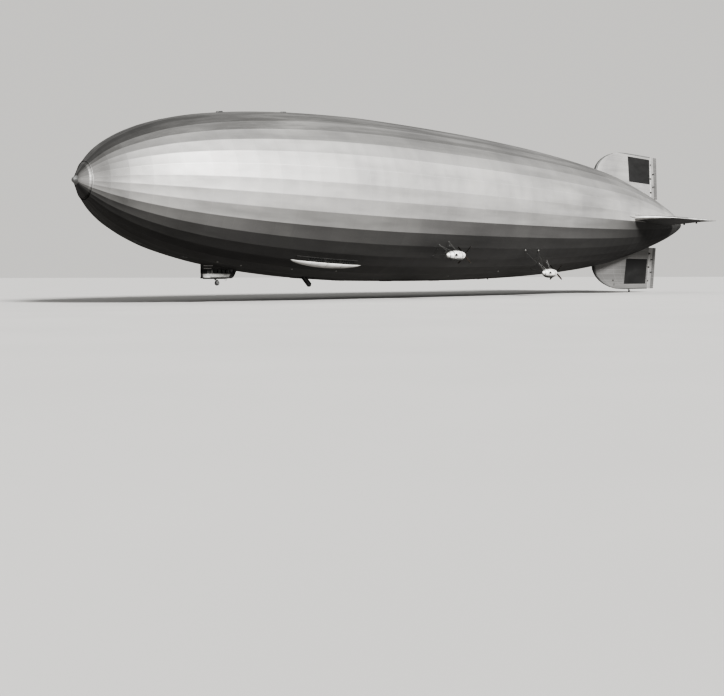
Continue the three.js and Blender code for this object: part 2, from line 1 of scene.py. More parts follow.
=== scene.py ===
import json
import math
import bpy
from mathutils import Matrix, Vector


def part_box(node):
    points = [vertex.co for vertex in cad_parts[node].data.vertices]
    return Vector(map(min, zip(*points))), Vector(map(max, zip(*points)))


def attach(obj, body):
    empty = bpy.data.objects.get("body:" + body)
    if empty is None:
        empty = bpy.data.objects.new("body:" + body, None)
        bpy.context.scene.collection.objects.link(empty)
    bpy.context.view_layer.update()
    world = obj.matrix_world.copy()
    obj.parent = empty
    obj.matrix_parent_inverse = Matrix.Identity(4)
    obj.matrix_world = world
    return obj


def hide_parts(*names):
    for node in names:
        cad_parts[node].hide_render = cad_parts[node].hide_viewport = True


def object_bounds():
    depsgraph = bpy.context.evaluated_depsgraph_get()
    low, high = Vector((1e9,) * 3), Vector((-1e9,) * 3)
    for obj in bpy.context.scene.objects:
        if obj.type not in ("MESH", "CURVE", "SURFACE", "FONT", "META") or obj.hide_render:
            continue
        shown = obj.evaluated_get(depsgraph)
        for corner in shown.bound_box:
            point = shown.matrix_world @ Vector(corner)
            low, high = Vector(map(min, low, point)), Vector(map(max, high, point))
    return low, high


bl_info = {
    "name": "Rigid Airship",
    "version": (1, 0, 0),
    "blender": (4, 5, 0),
    "location": "View3D > Sidebar > Airship",
    "description": "Dresses the airship's solids with fabric, panels, cars, propellers and wheels",
    "category": "Object",
}

from contextlib import contextmanager

import bmesh
import bpy
from bpy.props import FloatProperty, FloatVectorProperty, PointerProperty
from mathutils import Matrix, Vector

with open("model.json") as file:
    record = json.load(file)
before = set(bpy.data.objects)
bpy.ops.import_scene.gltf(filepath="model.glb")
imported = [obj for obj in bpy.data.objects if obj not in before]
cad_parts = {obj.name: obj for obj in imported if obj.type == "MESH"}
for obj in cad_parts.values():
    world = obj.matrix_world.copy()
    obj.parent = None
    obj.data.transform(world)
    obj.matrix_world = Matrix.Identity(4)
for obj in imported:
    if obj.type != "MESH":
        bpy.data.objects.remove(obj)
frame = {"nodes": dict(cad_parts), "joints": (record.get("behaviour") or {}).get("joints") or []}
CAD_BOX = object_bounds()

# Sizes that the whole ship shares. Stations are real metres aft of the nose.
# The model is a tenth of the real size.
SCALE = 0.1
LIFT_STATION = 109
GORES = 36
GORE = 2 * math.pi / GORES
SIDES = {"port": 1, "starboard": -1}
QUARTERS = {"upper": 0, "port": -90, "lower": 180, "starboard": 90}


def station_x(station):
    return (LIFT_STATION - station) * SCALE


def at_ship(station, y, z):
    """A point of the model from a station and two real distances from the hull's axis."""
    return Vector((station_x(station), y * SCALE, z * SCALE))


def about(axis, degrees):
    return Matrix.Rotation(math.radians(degrees), 4, axis)


def about_x(degrees):
    return about("X", degrees)


def same(a, b, by=1e-4):
    return abs(a - b) < by


# Hull lines, from the solid in the frame
def hull_corners():
    """The envelope's corners nearest the port side, as (x, radius) pairs, without its inner wall's."""
    found = {}
    for vertex in frame["nodes"]["envelope"].data.vertices:
        x, y, z = vertex.co
        if y > 0 and abs(math.atan2(z, y) - GORE / 2) < 0.002:
            found[round(x, 4)] = max(found.get(round(x, 4), 0), math.hypot(y, z))
    wall, step = 0.012, 0.004

    def inner(x, r):
        return any(same(x, a, wall) and b > r + step for a, b in found.items())

    return sorted((x, r) for x, r in found.items() if not inner(x, r))


HULL_LINE = hull_corners()


def between(t, start, end, slope_start, slope_end):
    """A smooth curve's value at a share t of the way from start to end, with these slopes at its ends."""
    return (
        (2 * t**3 - 3 * t**2 + 1) * start + (t**3 - 2 * t**2 + t) * slope_start
        + (3 * t**2 - 2 * t**3) * end + (t**3 - t**2) * slope_end
    )


def hull_radius(x):
    """The corner radius of the hull at x, on a smooth curve through the solid's rings."""
    rows = HULL_LINE
    if x <= rows[0][0] or x >= rows[-1][0]:
        return rows[0][1] if x <= rows[0][0] else rows[-1][1]
    i = max(k for k in range(len(rows) - 1) if rows[k][0] <= x)
    slopes = [(b[1] - a[1]) / (b[0] - a[0]) for a, b in zip(rows, rows[1:])]

    def tangent(k):
        if k in (0, len(rows) - 1):
            return slopes[min(k, len(slopes) - 1)]
        before, after = slopes[k - 1], slopes[k]
        return 2 * before * after / (before + after) if before * after > 0 else 0.0

    (x0, r0), (x1, r1) = rows[i], rows[i + 1]
    span = x1 - x0
    t = (x - x0) / span
    return between(t, r0, r1, span * tangent(i), span * tangent(i + 1))


def on_hull(station, angle, proud=0.0):
    """A point on the hull's flat sides, so many degrees from the top towards port, and so far proud of it."""
    off_middle = math.radians(angle - round(angle / 10) * 10)
    x = station_x(station)
    r = hull_radius(x) * math.cos(GORE / 2) / math.cos(off_middle) + proud
    turn = math.radians(angle)
    return Vector((x, r * math.sin(turn), r * math.cos(turn)))


# Tools of the bench: picking, shaping and finishing
def only(*pieces):
    bpy.ops.object.select_all(action="DESELECT")
    for piece in pieces:
        piece.select_set(True)
    bpy.context.view_layer.objects.active = pieces[-1]


def primitive(kind, name, **settings):
    """Adds a primitive with nothing else selected."""
    bpy.ops.object.select_all(action="DESELECT")
    getattr(bpy.ops.mesh, "primitive_" + kind + "_add")(**settings)
    piece = bpy.context.object
    piece.name = piece.data.name = name
    return piece


@contextmanager
def shaping(piece):
    """Edit mode on one piece, with all of it selected."""
    only(piece)
    bpy.ops.object.mode_set(mode="EDIT")
    bpy.ops.mesh.select_all(action="SELECT")
    yield
    bpy.ops.object.mode_set(mode="OBJECT")


def middle(part):
    """The middle of a face, an edge or a vertex."""
    if isinstance(part, bmesh.types.BMVert):
        return part.co
    if isinstance(part, bmesh.types.BMEdge):
        return (part.verts[0].co + part.verts[1].co) / 2
    return part.calc_center_median()


def pick(piece, test, kind="FACE"):
    """In edit mode, selects the faces, edges or vertices that pass the test, and nothing else."""
    bpy.ops.mesh.select_mode(type=kind)
    bpy.ops.mesh.select_all(action="DESELECT")
    mesh = bmesh.from_edit_mesh(piece.data)
    for part in {"FACE": mesh.faces, "EDGE": mesh.edges, "VERT": mesh.verts}[kind]:
        if test(part):
            part.select_set(True)
    mesh.select_flush_mode()
    bmesh.update_edit_mesh(piece.data, loop_triangles=False, destructive=False)


def resize(x, y, z, centre):
    bpy.ops.transform.resize(value=(x, y, z), center_override=centre)


def shift(x, y, z):
    bpy.ops.transform.translate(value=(x, y, z))


def coat(piece, *materials):
    piece.data.materials.clear()
    for material in materials:
        piece.data.materials.append(material)


def assign(piece, index):
    """In edit mode, gives the picked faces one of the piece's materials."""
    piece.active_material_index = index
    bpy.ops.object.material_slot_assign()


def chamfer(width, segments=1, material=-1):
    bpy.ops.mesh.bevel(offset=width, segments=segments, affect="EDGES", material=material)


def inset(width, depth=0.0, each=False):
    bpy.ops.mesh.inset(thickness=width, depth=depth, use_individual=each)


def pull(x, y, z):
    bpy.ops.mesh.extrude_region_move(TRANSFORM_OT_translate={"value": (x, y, z)})


def slice_at(place, axis):
    """Cuts a line all round the piece, square to an axis."""
    bpy.ops.mesh.select_all(action="SELECT")
    bpy.ops.mesh.bisect(plane_co=place, plane_no=[float(letter == axis) for letter in "XYZ"])


def settle():
    """Puts the picked pieces' places, turns and sizes into their meshes."""
    bpy.ops.object.transform_apply(location=True, rotation=True, scale=True)


def placed(piece, matrix):
    """Settles a piece and then moves its mesh."""
    only(piece)
    settle()
    piece.data.transform(matrix)
    return piece


def drop(*pieces):
    """Removes the patterns that copies were made from."""
    for piece in pieces:
        bpy.data.objects.remove(piece)


def modify(piece, kind, **settings):
    """Adds a modifier and applies it."""
    only(piece)
    modifier = piece.modifiers.new(kind.title(), kind)
    for name, value in settings.items():
        setattr(modifier, name, value)
    bpy.ops.object.modifier_apply(modifier=modifier.name)


def cut(piece, *tools):
    """Takes the tools' shapes out of a piece, and removes the tools."""
    for tool in tools:
        modify(piece, "BOOLEAN", operation="DIFFERENCE", object=tool, solver="EXACT")
        drop(tool)


def join(name, pieces):
    """Makes one piece of several."""
    only(*pieces)
    if len(pieces) > 1:
        bpy.ops.object.join()
    pieces[-1].name = pieces[-1].data.name = name
    return pieces[-1]


def copied(piece, name, place=Matrix.Identity(4)):
    """A copy with a mesh of its own, moved by a matrix."""
    made = piece.copy()
    made.data = piece.data.copy()
    made.name = made.data.name = name
    bpy.context.scene.collection.objects.link(made)
    made.data.transform(place @ made.matrix_world)
    made.matrix_world = Matrix.Identity(4)
    if place.determinant() < 0:
        made.data.flip_normals()
    return made


def finish(piece, body, slot, *materials, smooth=None, replaces=()):
    """Puts a piece's place into its mesh, smooths it, gives it its finish and lets it ride on its body."""
    only(piece)
    settle()
    if smooth is not None:
        bpy.ops.object.shade_smooth_by_angle(angle=math.radians(smooth), keep_sharp_edges=True)
    if materials:
        coat(piece, *materials)
    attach(piece, body)
    if replaces:
        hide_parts(*replaces)
    return piece


def ringed(name, rings, sides, turn=0.0):
    """A closed body pulled along X: each ring is (x, half width, half height, y, z of its middle)."""
    x, wide, high, y, z = rings[0]
    face_along_x = about("Y", 90) @ Matrix.Rotation(turn, 4, "Z")
    body = primitive(
        "circle", name, vertices=sides, radius=1, fill_type="NGON",
        location=(x, y, z), rotation=face_along_x.to_euler(),
    )
    settle()
    with shaping(body):
        resize(1, wide, high, (x, y, z))
        for (x0, w0, h0, y0, z0), (x1, w1, h1, y1, z1) in zip(rings, rings[1:]):
            pull(x1 - x0, y1 - y0, z1 - z0)
            resize(1, w1 / w0, h1 / h0, (x1, y1, z1))
        bpy.ops.mesh.select_all(action="SELECT")
        bpy.ops.mesh.normals_make_consistent(inside=False)
    return body


def round_rings(profile):
    """Rings on the axis from (x, radius) pairs."""
    return [(x, r, r, 0, 0) for x, r in profile]


def turned(name, profile, sides=32):
    """A piece turned about Z from (height, radius) pairs."""
    piece = ringed(name, round_rings(profile), sides)
    piece.data.transform(about("Y", -90))
    return piece


def strap(name, rings, sides, turn, thick, bevel):
    """A flat strap that follows rings, with a wall of its own."""
    piece = ringed(name, rings, sides, turn)
    with shaping(piece):
        pick(piece, lambda face: abs(face.normal.x) > 0.9)
        bpy.ops.mesh.delete(type="ONLY_FACE")
    modify(piece, "SOLIDIFY", thickness=thick, offset=-1)
    modify(piece, "BEVEL", width=bevel, segments=2, limit_method="ANGLE")
    return piece


def keep_heights(piece):
    """Notes how high each point lies on the piece itself, for its finish."""
    heights = piece.data.attributes.new("height", "FLOAT", "POINT")
    for vertex, value in zip(piece.data.vertices, heights.data):
        value.value = vertex.co.z


def eased(table, count):
    """A table of rows, sampled at so many even steps of its first column on smooth curves."""
    low, high = table[0][0], table[-1][0]
    rows = []
    for step in range(count + 1):
        x = low + (high - low) * step / count
        i = max(k for k in range(len(table) - 1) if (table[k][0] - x) * math.copysign(1, low - high) >= -1e-9)
        before, after = table[max(i - 1, 0)], table[min(i + 2, len(table) - 1)]
        here, there = table[i], table[i + 1]
        t = (x - here[0]) / (there[0] - here[0])
        row = [x]
        for k in range(1, len(here)):
            slope0 = (there[k] - before[k]) / (there[0] - before[0]) * (there[0] - here[0])
            slope1 = (after[k] - here[k]) / (after[0] - here[0]) * (there[0] - here[0])
            row.append(between(t, here[k], there[k], slope0, slope1))
        rows.append(tuple(row))
    return rows


def box(name, low, high, bevel=0.0, segments=2):
    """A block between two corners, with its edges rounded."""
    low, high = Vector(low), Vector(high)
    piece = primitive("cube", name, size=1, location=(low + high) / 2)
    piece.scale = high - low
    settle()
    if bevel:
        with shaping(piece):
            chamfer(bevel, segments)
    return piece


THIN_BAR = 0.003
BAR_END = 0.15  # of the radius


def bar(name, start, end, radius, sides=12, tip=None):
    """A round bar between two points, which may taper, with its ends rounded off."""
    start, end = Vector(start), Vector(end)
    along = end - start
    tip = radius if tip is None else tip
    piece = primitive(
        "cone", name, vertices=sides, radius1=radius, radius2=tip, depth=along.length,
        location=(start + end) / 2, rotation=along.to_track_quat("Z", "Y").to_euler(),
    )
    settle()
    if radius > THIN_BAR:
        with shaping(piece):
            pick(piece, lambda face: len(face.verts) == sides)
            chamfer(BAR_END * min(radius, tip))
    return piece


def seat(station, angle, proud=0.0):
    """Where a fitting sits on the hull: X along the hull's line, Y round it, Z outwards."""
    x, step = station_x(station), 0.05
    slope = math.atan2(hull_radius(x + step) - hull_radius(x - step), 2 * step)
    tilt = Matrix.Rotation(-slope, 4, "Y")
    return Matrix.Translation(on_hull(station, angle, proud)) @ about_x(-angle) @ tilt


def on_solid(node, points):
    """The nearest places to these points on a solid's surface."""
    solid = frame["nodes"][node]
    return [solid.closest_point_on_mesh(point)[1] for point in points]


MIRROR = Matrix.Scale(-1, 4, (0, 1, 0))


def tape_ridges(piece, width, material=1):
    """Lays a flat tape along every ridge of a piece with the hull's gores."""

    def on_ridge(edge):
        a, b = (vertex.co for vertex in edge.verts)
        lean = [math.atan2(p.y, p.z) / GORE - 0.5 for p in (a, b)]
        return abs(a.x - b.x) > 1e-4 and all(abs(t - round(t)) < 0.02 for t in lean)

    pick(piece, on_ridge, "EDGE")
    chamfer(width, material=material)
    bpy.ops.mesh.select_mode(type="FACE")
    bpy.ops.mesh.region_to_loop()
    bpy.ops.mesh.mark_sharp()


def tube(name, points, radius, closed=False, sides=3):
    """A pipe that follows points, made from a round-bevelled curve."""
    line = bpy.data.curves.new(name, "CURVE")
    line.dimensions = "3D"
    line.bevel_depth = radius
    line.bevel_resolution = sides
    line.use_fill_caps = True
    spline = line.splines.new("POLY")
    spline.points.add(len(points) - 1)
    for place, point in zip(spline.points, points):
        place.co = (*point, 1)
    spline.use_cyclic_u = closed
    piece = bpy.data.objects.new(name, line)
    bpy.context.scene.collection.objects.link(piece)
    only(piece)
    bpy.ops.object.convert(target="MESH")
    return bpy.context.object


def bolts(name, count, ring, radius, height, place):
    """A ring of round-headed bolts about Z, moved to its place."""
    heads = []
    for k in range(count):
        turn = math.tau * k / count
        head = primitive(
            "uv_sphere", name, segments=8, ring_count=6, radius=radius,
            location=(ring * math.cos(turn), ring * math.sin(turn), 0),
        )
        head.scale.z = height / radius
        heads.append(head)
    return placed(join(name, heads), place)


def hoop(name, place, radius, thick, turn, segments=36):
    """A round ring of round wire."""
    ring = primitive(
        "torus", name, major_radius=radius, minor_radius=thick, major_segments=segments, minor_segments=8,
        location=place, rotation=turn,
    )
    settle()
    return ring


# Finishes
class Finish:
    """A material in the making. Patterns read Object coordinates, so they stay on the piece."""

    def __init__(self, name, colour, roughness, metallic=0.0, attribute=None, **sockets):
        self.material = bpy.data.materials.new(name)
        self.material.use_nodes = True
        self.tree = self.material.node_tree
        self.shader = self.tree.nodes["Principled BSDF"]
        self.shader.inputs["Base Color"].default_value = (*colour, 1)
        self.shader.inputs["Roughness"].default_value = roughness
        self.shader.inputs["Metallic"].default_value = metallic
        for socket, value in sockets.items():
            self.shader.inputs[socket.replace("_", " ")].default_value = value
        if attribute:
            self.place = self.node("Attribute", {"attribute_name": attribute}).outputs["Vector"]
        else:
            self.place = self.tree.nodes.new("ShaderNodeTexCoord").outputs["Object"]

    def node(self, kind, settings=(), **inputs):
        made = self.tree.nodes.new("ShaderNode" + kind)
        for key, value in dict(settings).items():
            setattr(made, key, value)
        for key, value in inputs.items():
            self.feed(made.inputs[int(key[1:]) if key[0] == "_" else key.replace("_", " ")], value)
        return made

    def feed(self, socket, value):
        if isinstance(value, bpy.types.NodeSocket):
            self.tree.links.new(value, socket)
        else:
            socket.default_value = (*value, 1) if socket.type == "RGBA" else value

    def sum(self, operation, first, second=0.0, third=0.0):
        return self.node("Math", {"operation": operation}, _0=first, _1=second, _2=third).outputs[0]

    def stretched(self, x, y, z):
        return self.node("Mapping", Vector=self.place, Scale=(x, y, z)).outputs[0]

    def noise(self, scale, detail=3.0, stretch=(1, 1, 1), roughness=0.5):
        sizes = {"Scale": scale, "Detail": detail, "Roughness": roughness}
        return self.node("TexNoise", Vector=self.stretched(*stretch), **sizes).outputs["Fac"]

    def axis(self, letter):
        return self.node("SeparateXYZ", _0=self.place).outputs[letter]

    def map(self, value, low, high, to_low=0.0, to_high=1.0):
        inputs = {"_1": low, "_2": high, "_3": to_low, "_4": to_high}
        return self.node("MapRange", _0=value, **inputs).outputs[0]

    def times(self, first, second):
        return self.mix(1.0, first, second, "MULTIPLY")

    def greys(self, share, *stops):
        """A ramp of greys: each stop is (place, tone)."""
        return self.tones(share, *[(place, (tone,) * 3) for place, tone in stops])

    def mix(self, share, first, second, blend="MIX"):
        made = self.node("Mix", {"data_type": "RGBA", "blend_type": blend}, _0=share)
        self.feed(made.inputs[6], first)
        self.feed(made.inputs[7], second)
        return made.outputs[2]

    def tones(self, share, *stops):
        """A colour ramp: each stop is (place, colour)."""
        ramp = self.node("ValToRGB", Fac=share)
        elements = ramp.color_ramp.elements
        while len(elements) < len(stops):
            elements.new(1.0)
        for element, (position, colour) in zip(elements, stops):
            element.position = position
            element.color = (*colour, 1)
        return ramp.outputs["Color"]

    def colour(self, value):
        self.feed(self.shader.inputs["Base Color"], value)

    def rough(self, value, low, high):
        self.feed(self.shader.inputs["Roughness"], self.map(value, 0.3, 0.7, low, high))

    def bump(self, height, strength, distance):
        made = self.node("Bump", Height=height, Strength=strength, Distance=distance)
        before = self.shader.inputs["Normal"]
        if before.is_linked:
            self.tree.links.new(before.links[0].from_socket, made.inputs["Normal"])
        self.tree.links.new(made.outputs["Normal"], before)


# Painted light and shade on the flat sides: how bright each side's colour is kept, from the ridge (0) to the
# belly (1)
SIDE_PAINTED_SHADE = (
    (0.0, 0.62), (0.2, 0.6), (0.25, 0.63), (0.29, 0.72), (0.34, 0.86), (0.4, 0.93), (0.47, 1.0), (0.56, 1.0),
    (0.605, 0.9), (0.66, 0.4), (0.722, 0.23), (0.8, 0.2), (0.9, 0.3), (1.0, 0.4),
)
BRIGHTEST = 0.47
# Zones of painted shade near the bow and the stern, among them the level fins' shadow on the lower stern.
PAINTED_SHADE_ZONES = (
    # X where it starts and is full, limits from the ridge (0) to the belly (1), strength, what it darkens to
    (6.4, 9.6, ((0.5, 0.4),), 0.42, 0.3),
    (6.4, 9.6, ((0.24, 0.16), (0.03, 0.1)), 0.75, 0.14),
    (-3.6, -7.9, ((0.515, 0.545),), 0.85, 0.1),
    (-10.3, -11.3, ((0.12, 0.06),), 0.9, 0.08),
    (-12.6, -12.75, ((0.3, 0.38),), 0.85, 0.12),
    (-11.6, -12.0, ((0.44, 0.5),), 0.85, 0.12),
)


def shade(colour, factor):
    return tuple(min(channel * factor, 1.0) for channel in colour)


def doped_fabric(name, colour, with_painted_shade=True):
    """Silver-doped cotton: streaks, a tone for each panel, brush marks, and painted shade on the ridge, the
    belly and zones near the bow and the stern.
    """
    sizes = bpy.context.scene.airship_hull
    cloth = Finish(name, colour, roughness=0.55, metallic=0.65)
    streaks = cloth.noise(1.6, detail=4.0, stretch=(0.16, 1.5, 1.5))
    patches = cloth.noise(0.55, detail=5.0, stretch=(1, 1, 1), roughness=0.6)
    base = cloth.tones(streaks, (0.28, shade(colour, 0.8)), (0.5, colour), (0.75, shade(colour, 1.08)))
    worn = cloth.tones(patches, (0.35, (0.9, 0.9, 0.91)), (0.62, (1, 1, 1)))
    base = cloth.times(base, worn)
    along = cloth.sum("FLOOR", cloth.sum("DIVIDE", cloth.axis("X"), 3 * sizes.bay))
    y, z = cloth.axis("Y"), cloth.axis("Z")
    side = cloth.sum("ROUND", cloth.sum("DIVIDE", cloth.sum("ARCTAN2", y, z), GORE))
    panel = cloth.node("CombineXYZ", _0=along, _1=side, _2=3.7).outputs[0]
    panel_tone = cloth.node("TexWhiteNoise", {"noise_dimensions": "3D"}, Vector=panel).outputs["Value"]
    base = cloth.times(base, cloth.greys(panel_tone, (0, 0.945), (1, 1)))
    if with_painted_shade:
        # Painted shade: each flat side's colour is darkened by where it faces, the ridge and the belly most;
        # towards the stern the darker bands reach nearer the brightest side.
        from_top = cloth.sum("DIVIDE", cloth.sum("ABSOLUTE", side), GORES / 2)
        aft = cloth.map(cloth.axis("X"), 8.6, -0.1, to_low=0.88, to_high=1.4)
        spread = cloth.sum("MULTIPLY_ADD", cloth.sum("SUBTRACT", from_top, BRIGHTEST), aft, BRIGHTEST)
        side_shade = cloth.greys(spread, *SIDE_PAINTED_SHADE)
        # A streaked painted shade along the ridge.
        ridge_shade_streaks = cloth.noise(2.4, detail=6.0, stretch=(0.07, 1.6, 1.6), roughness=0.65)
        ridge = cloth.sum("MULTIPLY", cloth.map(from_top, 0.3, 0.2), cloth.map(ridge_shade_streaks, 0.66, 0.4))
        base = cloth.times(base, side_shade)
        base = cloth.mix(ridge, base, shade(colour, 0.3))
        x = cloth.axis("X")
        # Each zone paints shade into the cloth's colour.
        for near, far, band, strength, tone in PAINTED_SHADE_ZONES:
            share = cloth.map(x, near, far, to_low=0, to_high=strength)
            for low, high in band:
                share = cloth.sum("MULTIPLY", share, cloth.map(from_top, low, high))
            base = cloth.mix(share, base, shade(colour, tone))
    cloth.colour(base)
    cloth.rough(patches, low=0.5, high=0.63)
    cloth.bump(cloth.noise(60.0, detail=4.0, stretch=(0.4, 1, 1)), strength=0.25, distance=0.0015)
    cloth.bump(cloth.noise(2.2, detail=2.0, stretch=(0.5, 1, 1)), strength=0.35, distance=0.012)
    return cloth.material


def painted_sheet(name, colour, roughness=0.42, metallic=0.15, dark_where=None):
    """Paint on thin sheet, with small waves, oil mist and rubbed spots, and dark where a pattern says so,
    such as the painted shade under the engine cars.
    """
    sheet = Finish(name, colour, roughness, metallic)
    stains = sheet.noise(7.0, detail=5.0, stretch=(0.6, 1, 1), roughness=0.6)
    grit = sheet.noise(55.0, detail=3.0)
    base = sheet.tones(stains, (0.3, shade(colour, 0.75)), (0.55, colour), (0.8, shade(colour, 1.05)))
    base = sheet.times(base, sheet.tones(grit, (0.28, (0.82, 0.82, 0.8)), (0.4, (1, 1, 1))))
    # A pattern may darken the sheet, as the painted shade under the engine cars does.
    if dark_where:
        base = sheet.mix(dark_where(sheet, stains), base, shade(colour, 0.08))
    sheet.colour(base)
    sheet.rough(stains, roughness - 0.06, roughness + 0.16)
    sheet.bump(sheet.noise(9.0, detail=2.0), strength=0.25, distance=0.003)
    return sheet.material


def shaded_foot(sheet, stains):
    """Where an engine car's underside is painted dark as shade: everything below a wavy line."""
    height = sheet.node("Attribute", {"attribute_name": "height"}).outputs["Fac"]
    run = sheet.sum("MULTIPLY_ADD", stains, 0.012, height)
    return sheet.map(run, SHADE_BELOW + 0.014, SHADE_BELOW - 0.004, to_low=0, to_high=0.9)


LIGHT_PANEL = {"sill": -1.862, "foot": -1.95, "tail": 6.058, "rake": 0.63, "front": 7.86, "pillar": 0.042}


def round_light_panel(sheet, _):
    """Where the control car is dark: above the sill, along the foot as painted shade, up the raked tail and
    down the front.
    """
    x, y, z = (sheet.axis(letter) for letter in "XYZ")
    above = sheet.map(z, LIGHT_PANEL["sill"] - 0.005, LIGHT_PANEL["sill"])
    # Along the foot the car is painted dark as the shade under it.
    foot = sheet.map(z, LIGHT_PANEL["foot"] + 0.005, LIGHT_PANEL["foot"])
    leaning = sheet.sum("MULTIPLY_ADD", z, LIGHT_PANEL["rake"], x)
    tail = sheet.map(leaning, LIGHT_PANEL["tail"] + 0.008, LIGHT_PANEL["tail"])
    ahead = sheet.map(x, LIGHT_PANEL["front"] - 0.02, LIGHT_PANEL["front"])
    across = sheet.map(sheet.sum("ABSOLUTE", y), LIGHT_PANEL["pillar"] + 0.008, LIGHT_PANEL["pillar"])
    pillar = sheet.sum("MULTIPLY", ahead, across)
    dark = sheet.sum("MAXIMUM", sheet.sum("MAXIMUM", above, foot), sheet.sum("MAXIMUM", tail, pillar))
    return sheet.sum("MULTIPLY", dark, 0.93)


def bare_metal(name, colour, roughness=0.36):
    """Light alloy with a fine grain and dull patches."""
    alloy = Finish(name, colour, roughness, metallic=0.85)
    grain_lines = alloy.noise(90.0)
    patches = alloy.noise(6.0, detail=4.0)
    base = alloy.tones(patches, (0.3, shade(colour, 0.7)), (0.7, colour))
    alloy.colour(alloy.times(base, alloy.greys(grain_lines, (0.3, 0.85), (0.7, 1))))
    alloy.rough(patches, roughness - 0.08, roughness + 0.16)
    alloy.bump(grain_lines, strength=0.2, distance=0.0006)
    return alloy.material


def dark_paint(name, colour):
    """A plain dark field painted on fabric, a little chalky and faded in streaks."""
    paint = Finish(name, colour, roughness=0.55)
    faded = paint.noise(3.0, detail=5.0, stretch=(0.5, 1, 1), roughness=0.65)
    paint.colour(paint.tones(faded, (0.3, shade(colour, 0.75)), (0.6, colour), (0.85, shade(colour, 1.9))))
    paint.rough(faded, low=0.48, high=0.66)
    paint.bump(paint.noise(60.0, detail=3.0), strength=0.2, distance=0.001)
    return paint.material


def lens_glass(name, colour):
    """A frosted lamp glass."""
    glass = Finish(name, colour, roughness=0.18, Transmission_Weight=0.35, IOR=1.5, Coat_Weight=0.4)
    haze = glass.noise(40.0, detail=3.0)
    glass.colour(glass.tones(haze, (0.3, shade(colour, 0.85)), (0.7, colour)))
    glass.rough(haze, low=0.12, high=0.3)
    return glass.material


def window_glass(name, lit=(0.16, 0.15, 0.13)):
    """A dark window seen from outside, with a lighter patch here and there."""
    glass = Finish(name, (0.02, 0.022, 0.024), roughness=0.08, Coat_Weight=0.6, Coat_Roughness=0.04)
    rooms = glass.noise(9.0, detail=1.0, stretch=(1.2, 0.3, 0.3))
    glass.colour(glass.tones(rooms, (0.35, (0.012, 0.013, 0.014)), (0.62, (0.05, 0.05, 0.048)), (0.8, lit)))
    glass.rough(glass.noise(30.0, detail=2.0), low=0.05, high=0.16)
    return glass.material


def varnished_wood(name, colour, attribute=None):
    """Dark varnished wood with glued layers and a fine grain, along X or along its own attribute."""
    wood = Finish(name, colour, roughness=0.3, attribute=attribute, Coat_Weight=0.35, Coat_Roughness=0.2)
    layers = wood.noise(26.0, detail=1.0, stretch=(0.02, 0.05, 5.0))
    grain = wood.noise(60.0, detail=5.0, stretch=(0.08, 1, 1), roughness=0.6)
    base = wood.tones(layers, (0.38, shade(colour, 0.62)), (0.52, colour), (0.64, shade(colour, 1.5)))
    wood.colour(wood.times(base, wood.tones(grain, (0.3, (0.62, 0.6, 0.58)), (0.62, (1, 1, 1)))))
    wood.rough(grain, low=0.26, high=0.42)
    wood.bump(grain, strength=0.15, distance=0.0006)
    return wood.material


def tyre_rubber(name, colour):
    """Dusty black rubber."""
    rubber = Finish(name, colour, roughness=0.8)
    dust = rubber.noise(22.0, detail=4.0)
    rubber.colour(rubber.tones(dust, (0.35, colour), (0.75, shade(colour, 2.6))))
    rubber.rough(dust, low=0.7, high=0.92)
    rubber.bump(rubber.noise(140.0, detail=3.0), strength=0.3, distance=0.0008)
    return rubber.material


# Sizes and colours that a user would change
class HullSizes(bpy.types.PropertyGroup):
    bay: FloatProperty(
        name="Bay", description="Greatest length of fabric between two frames", default=0.55, unit="LENGTH",
    )
    sag: FloatProperty(
        name="Sag", description="How far the fabric dips between its frames", default=0.006, unit="LENGTH",
    )
    tape: FloatProperty(
        name="Ridge tape", description="Half the width of a tape along a ridge", default=0.006, unit="LENGTH",
    )
    frame_tape: FloatProperty(
        name="Frame tape", description="Half the width of a tape round a frame", default=0.004, unit="LENGTH",
    )
    wall: FloatProperty(
        name="Wall", description="Thickness of the hull's shell", default=0.008, unit="LENGTH",
    )
    fabric: FloatVectorProperty(
        name="Fabric", description="Colour of the doped fabric", subtype="COLOR", min=0, max=1,
        default=(0.58, 0.57, 0.55),
    )
    tapes: FloatVectorProperty(
        name="Tapes", description="Colour of the seam tapes", subtype="COLOR", min=0, max=1,
        default=(0.64, 0.63, 0.61),
    )


class FinColours(bpy.types.PropertyGroup):
    panel: FloatVectorProperty(
        name="Panels", description="Colour of the plain dark panels", subtype="COLOR", min=0, max=1,
        default=(0.022, 0.0215, 0.021),
    )


class CarSizes(bpy.types.PropertyGroup):
    stay: FloatProperty(
        name="Stays", description="Radius of an engine car's stays", default=0.0048, unit="LENGTH",
    )
    paint: FloatVectorProperty(
        name="Paint", description="Colour of the engine cars", subtype="COLOR", min=0, max=1,
        default=(0.8, 0.79, 0.76),
    )


class StageSizes(bpy.types.PropertyGroup):
    reach: FloatProperty(name="Floor", description="Half the floor's side", default=900, unit="LENGTH")
    clearance: FloatProperty(
        name="Clearance", description="From the floor up to the lowest wheel", default=0.008, unit="LENGTH",
    )
    floor: FloatVectorProperty(
        name="Floor colour", description="Colour of the pale floor", subtype="COLOR", min=0, max=1,
        default=(0.62, 0.61, 0.59),
    )
    sky: FloatVectorProperty(
        name="Backdrop", description="Colour of the plain backdrop", subtype="COLOR", min=0, max=1,
        default=(0.6, 0.59, 0.57),
    )


# Stage
CAMERA_PLACE = Vector((18.892, 17.136, -1.939))
CAMERA_HEADING = 42.751
CAMERA_PITCH = 4.548
CAMERA_ROLL = -0.091
CAMERA_LENS = 44.47
SENSOR = 36
FARTHEST = 3000  # that the camera sees
FLOOR_THROW = (0.18, 0.175, 0.17)
SKY_STRENGTH = 0.24
LIGHTS = (
    # name, strength, spread, azimuth from port towards the bow, and elevation in degrees
    ("key_light", 5.4, 14, 4, 33), ("sky_light", 0.3, 80, -10, 72),
)


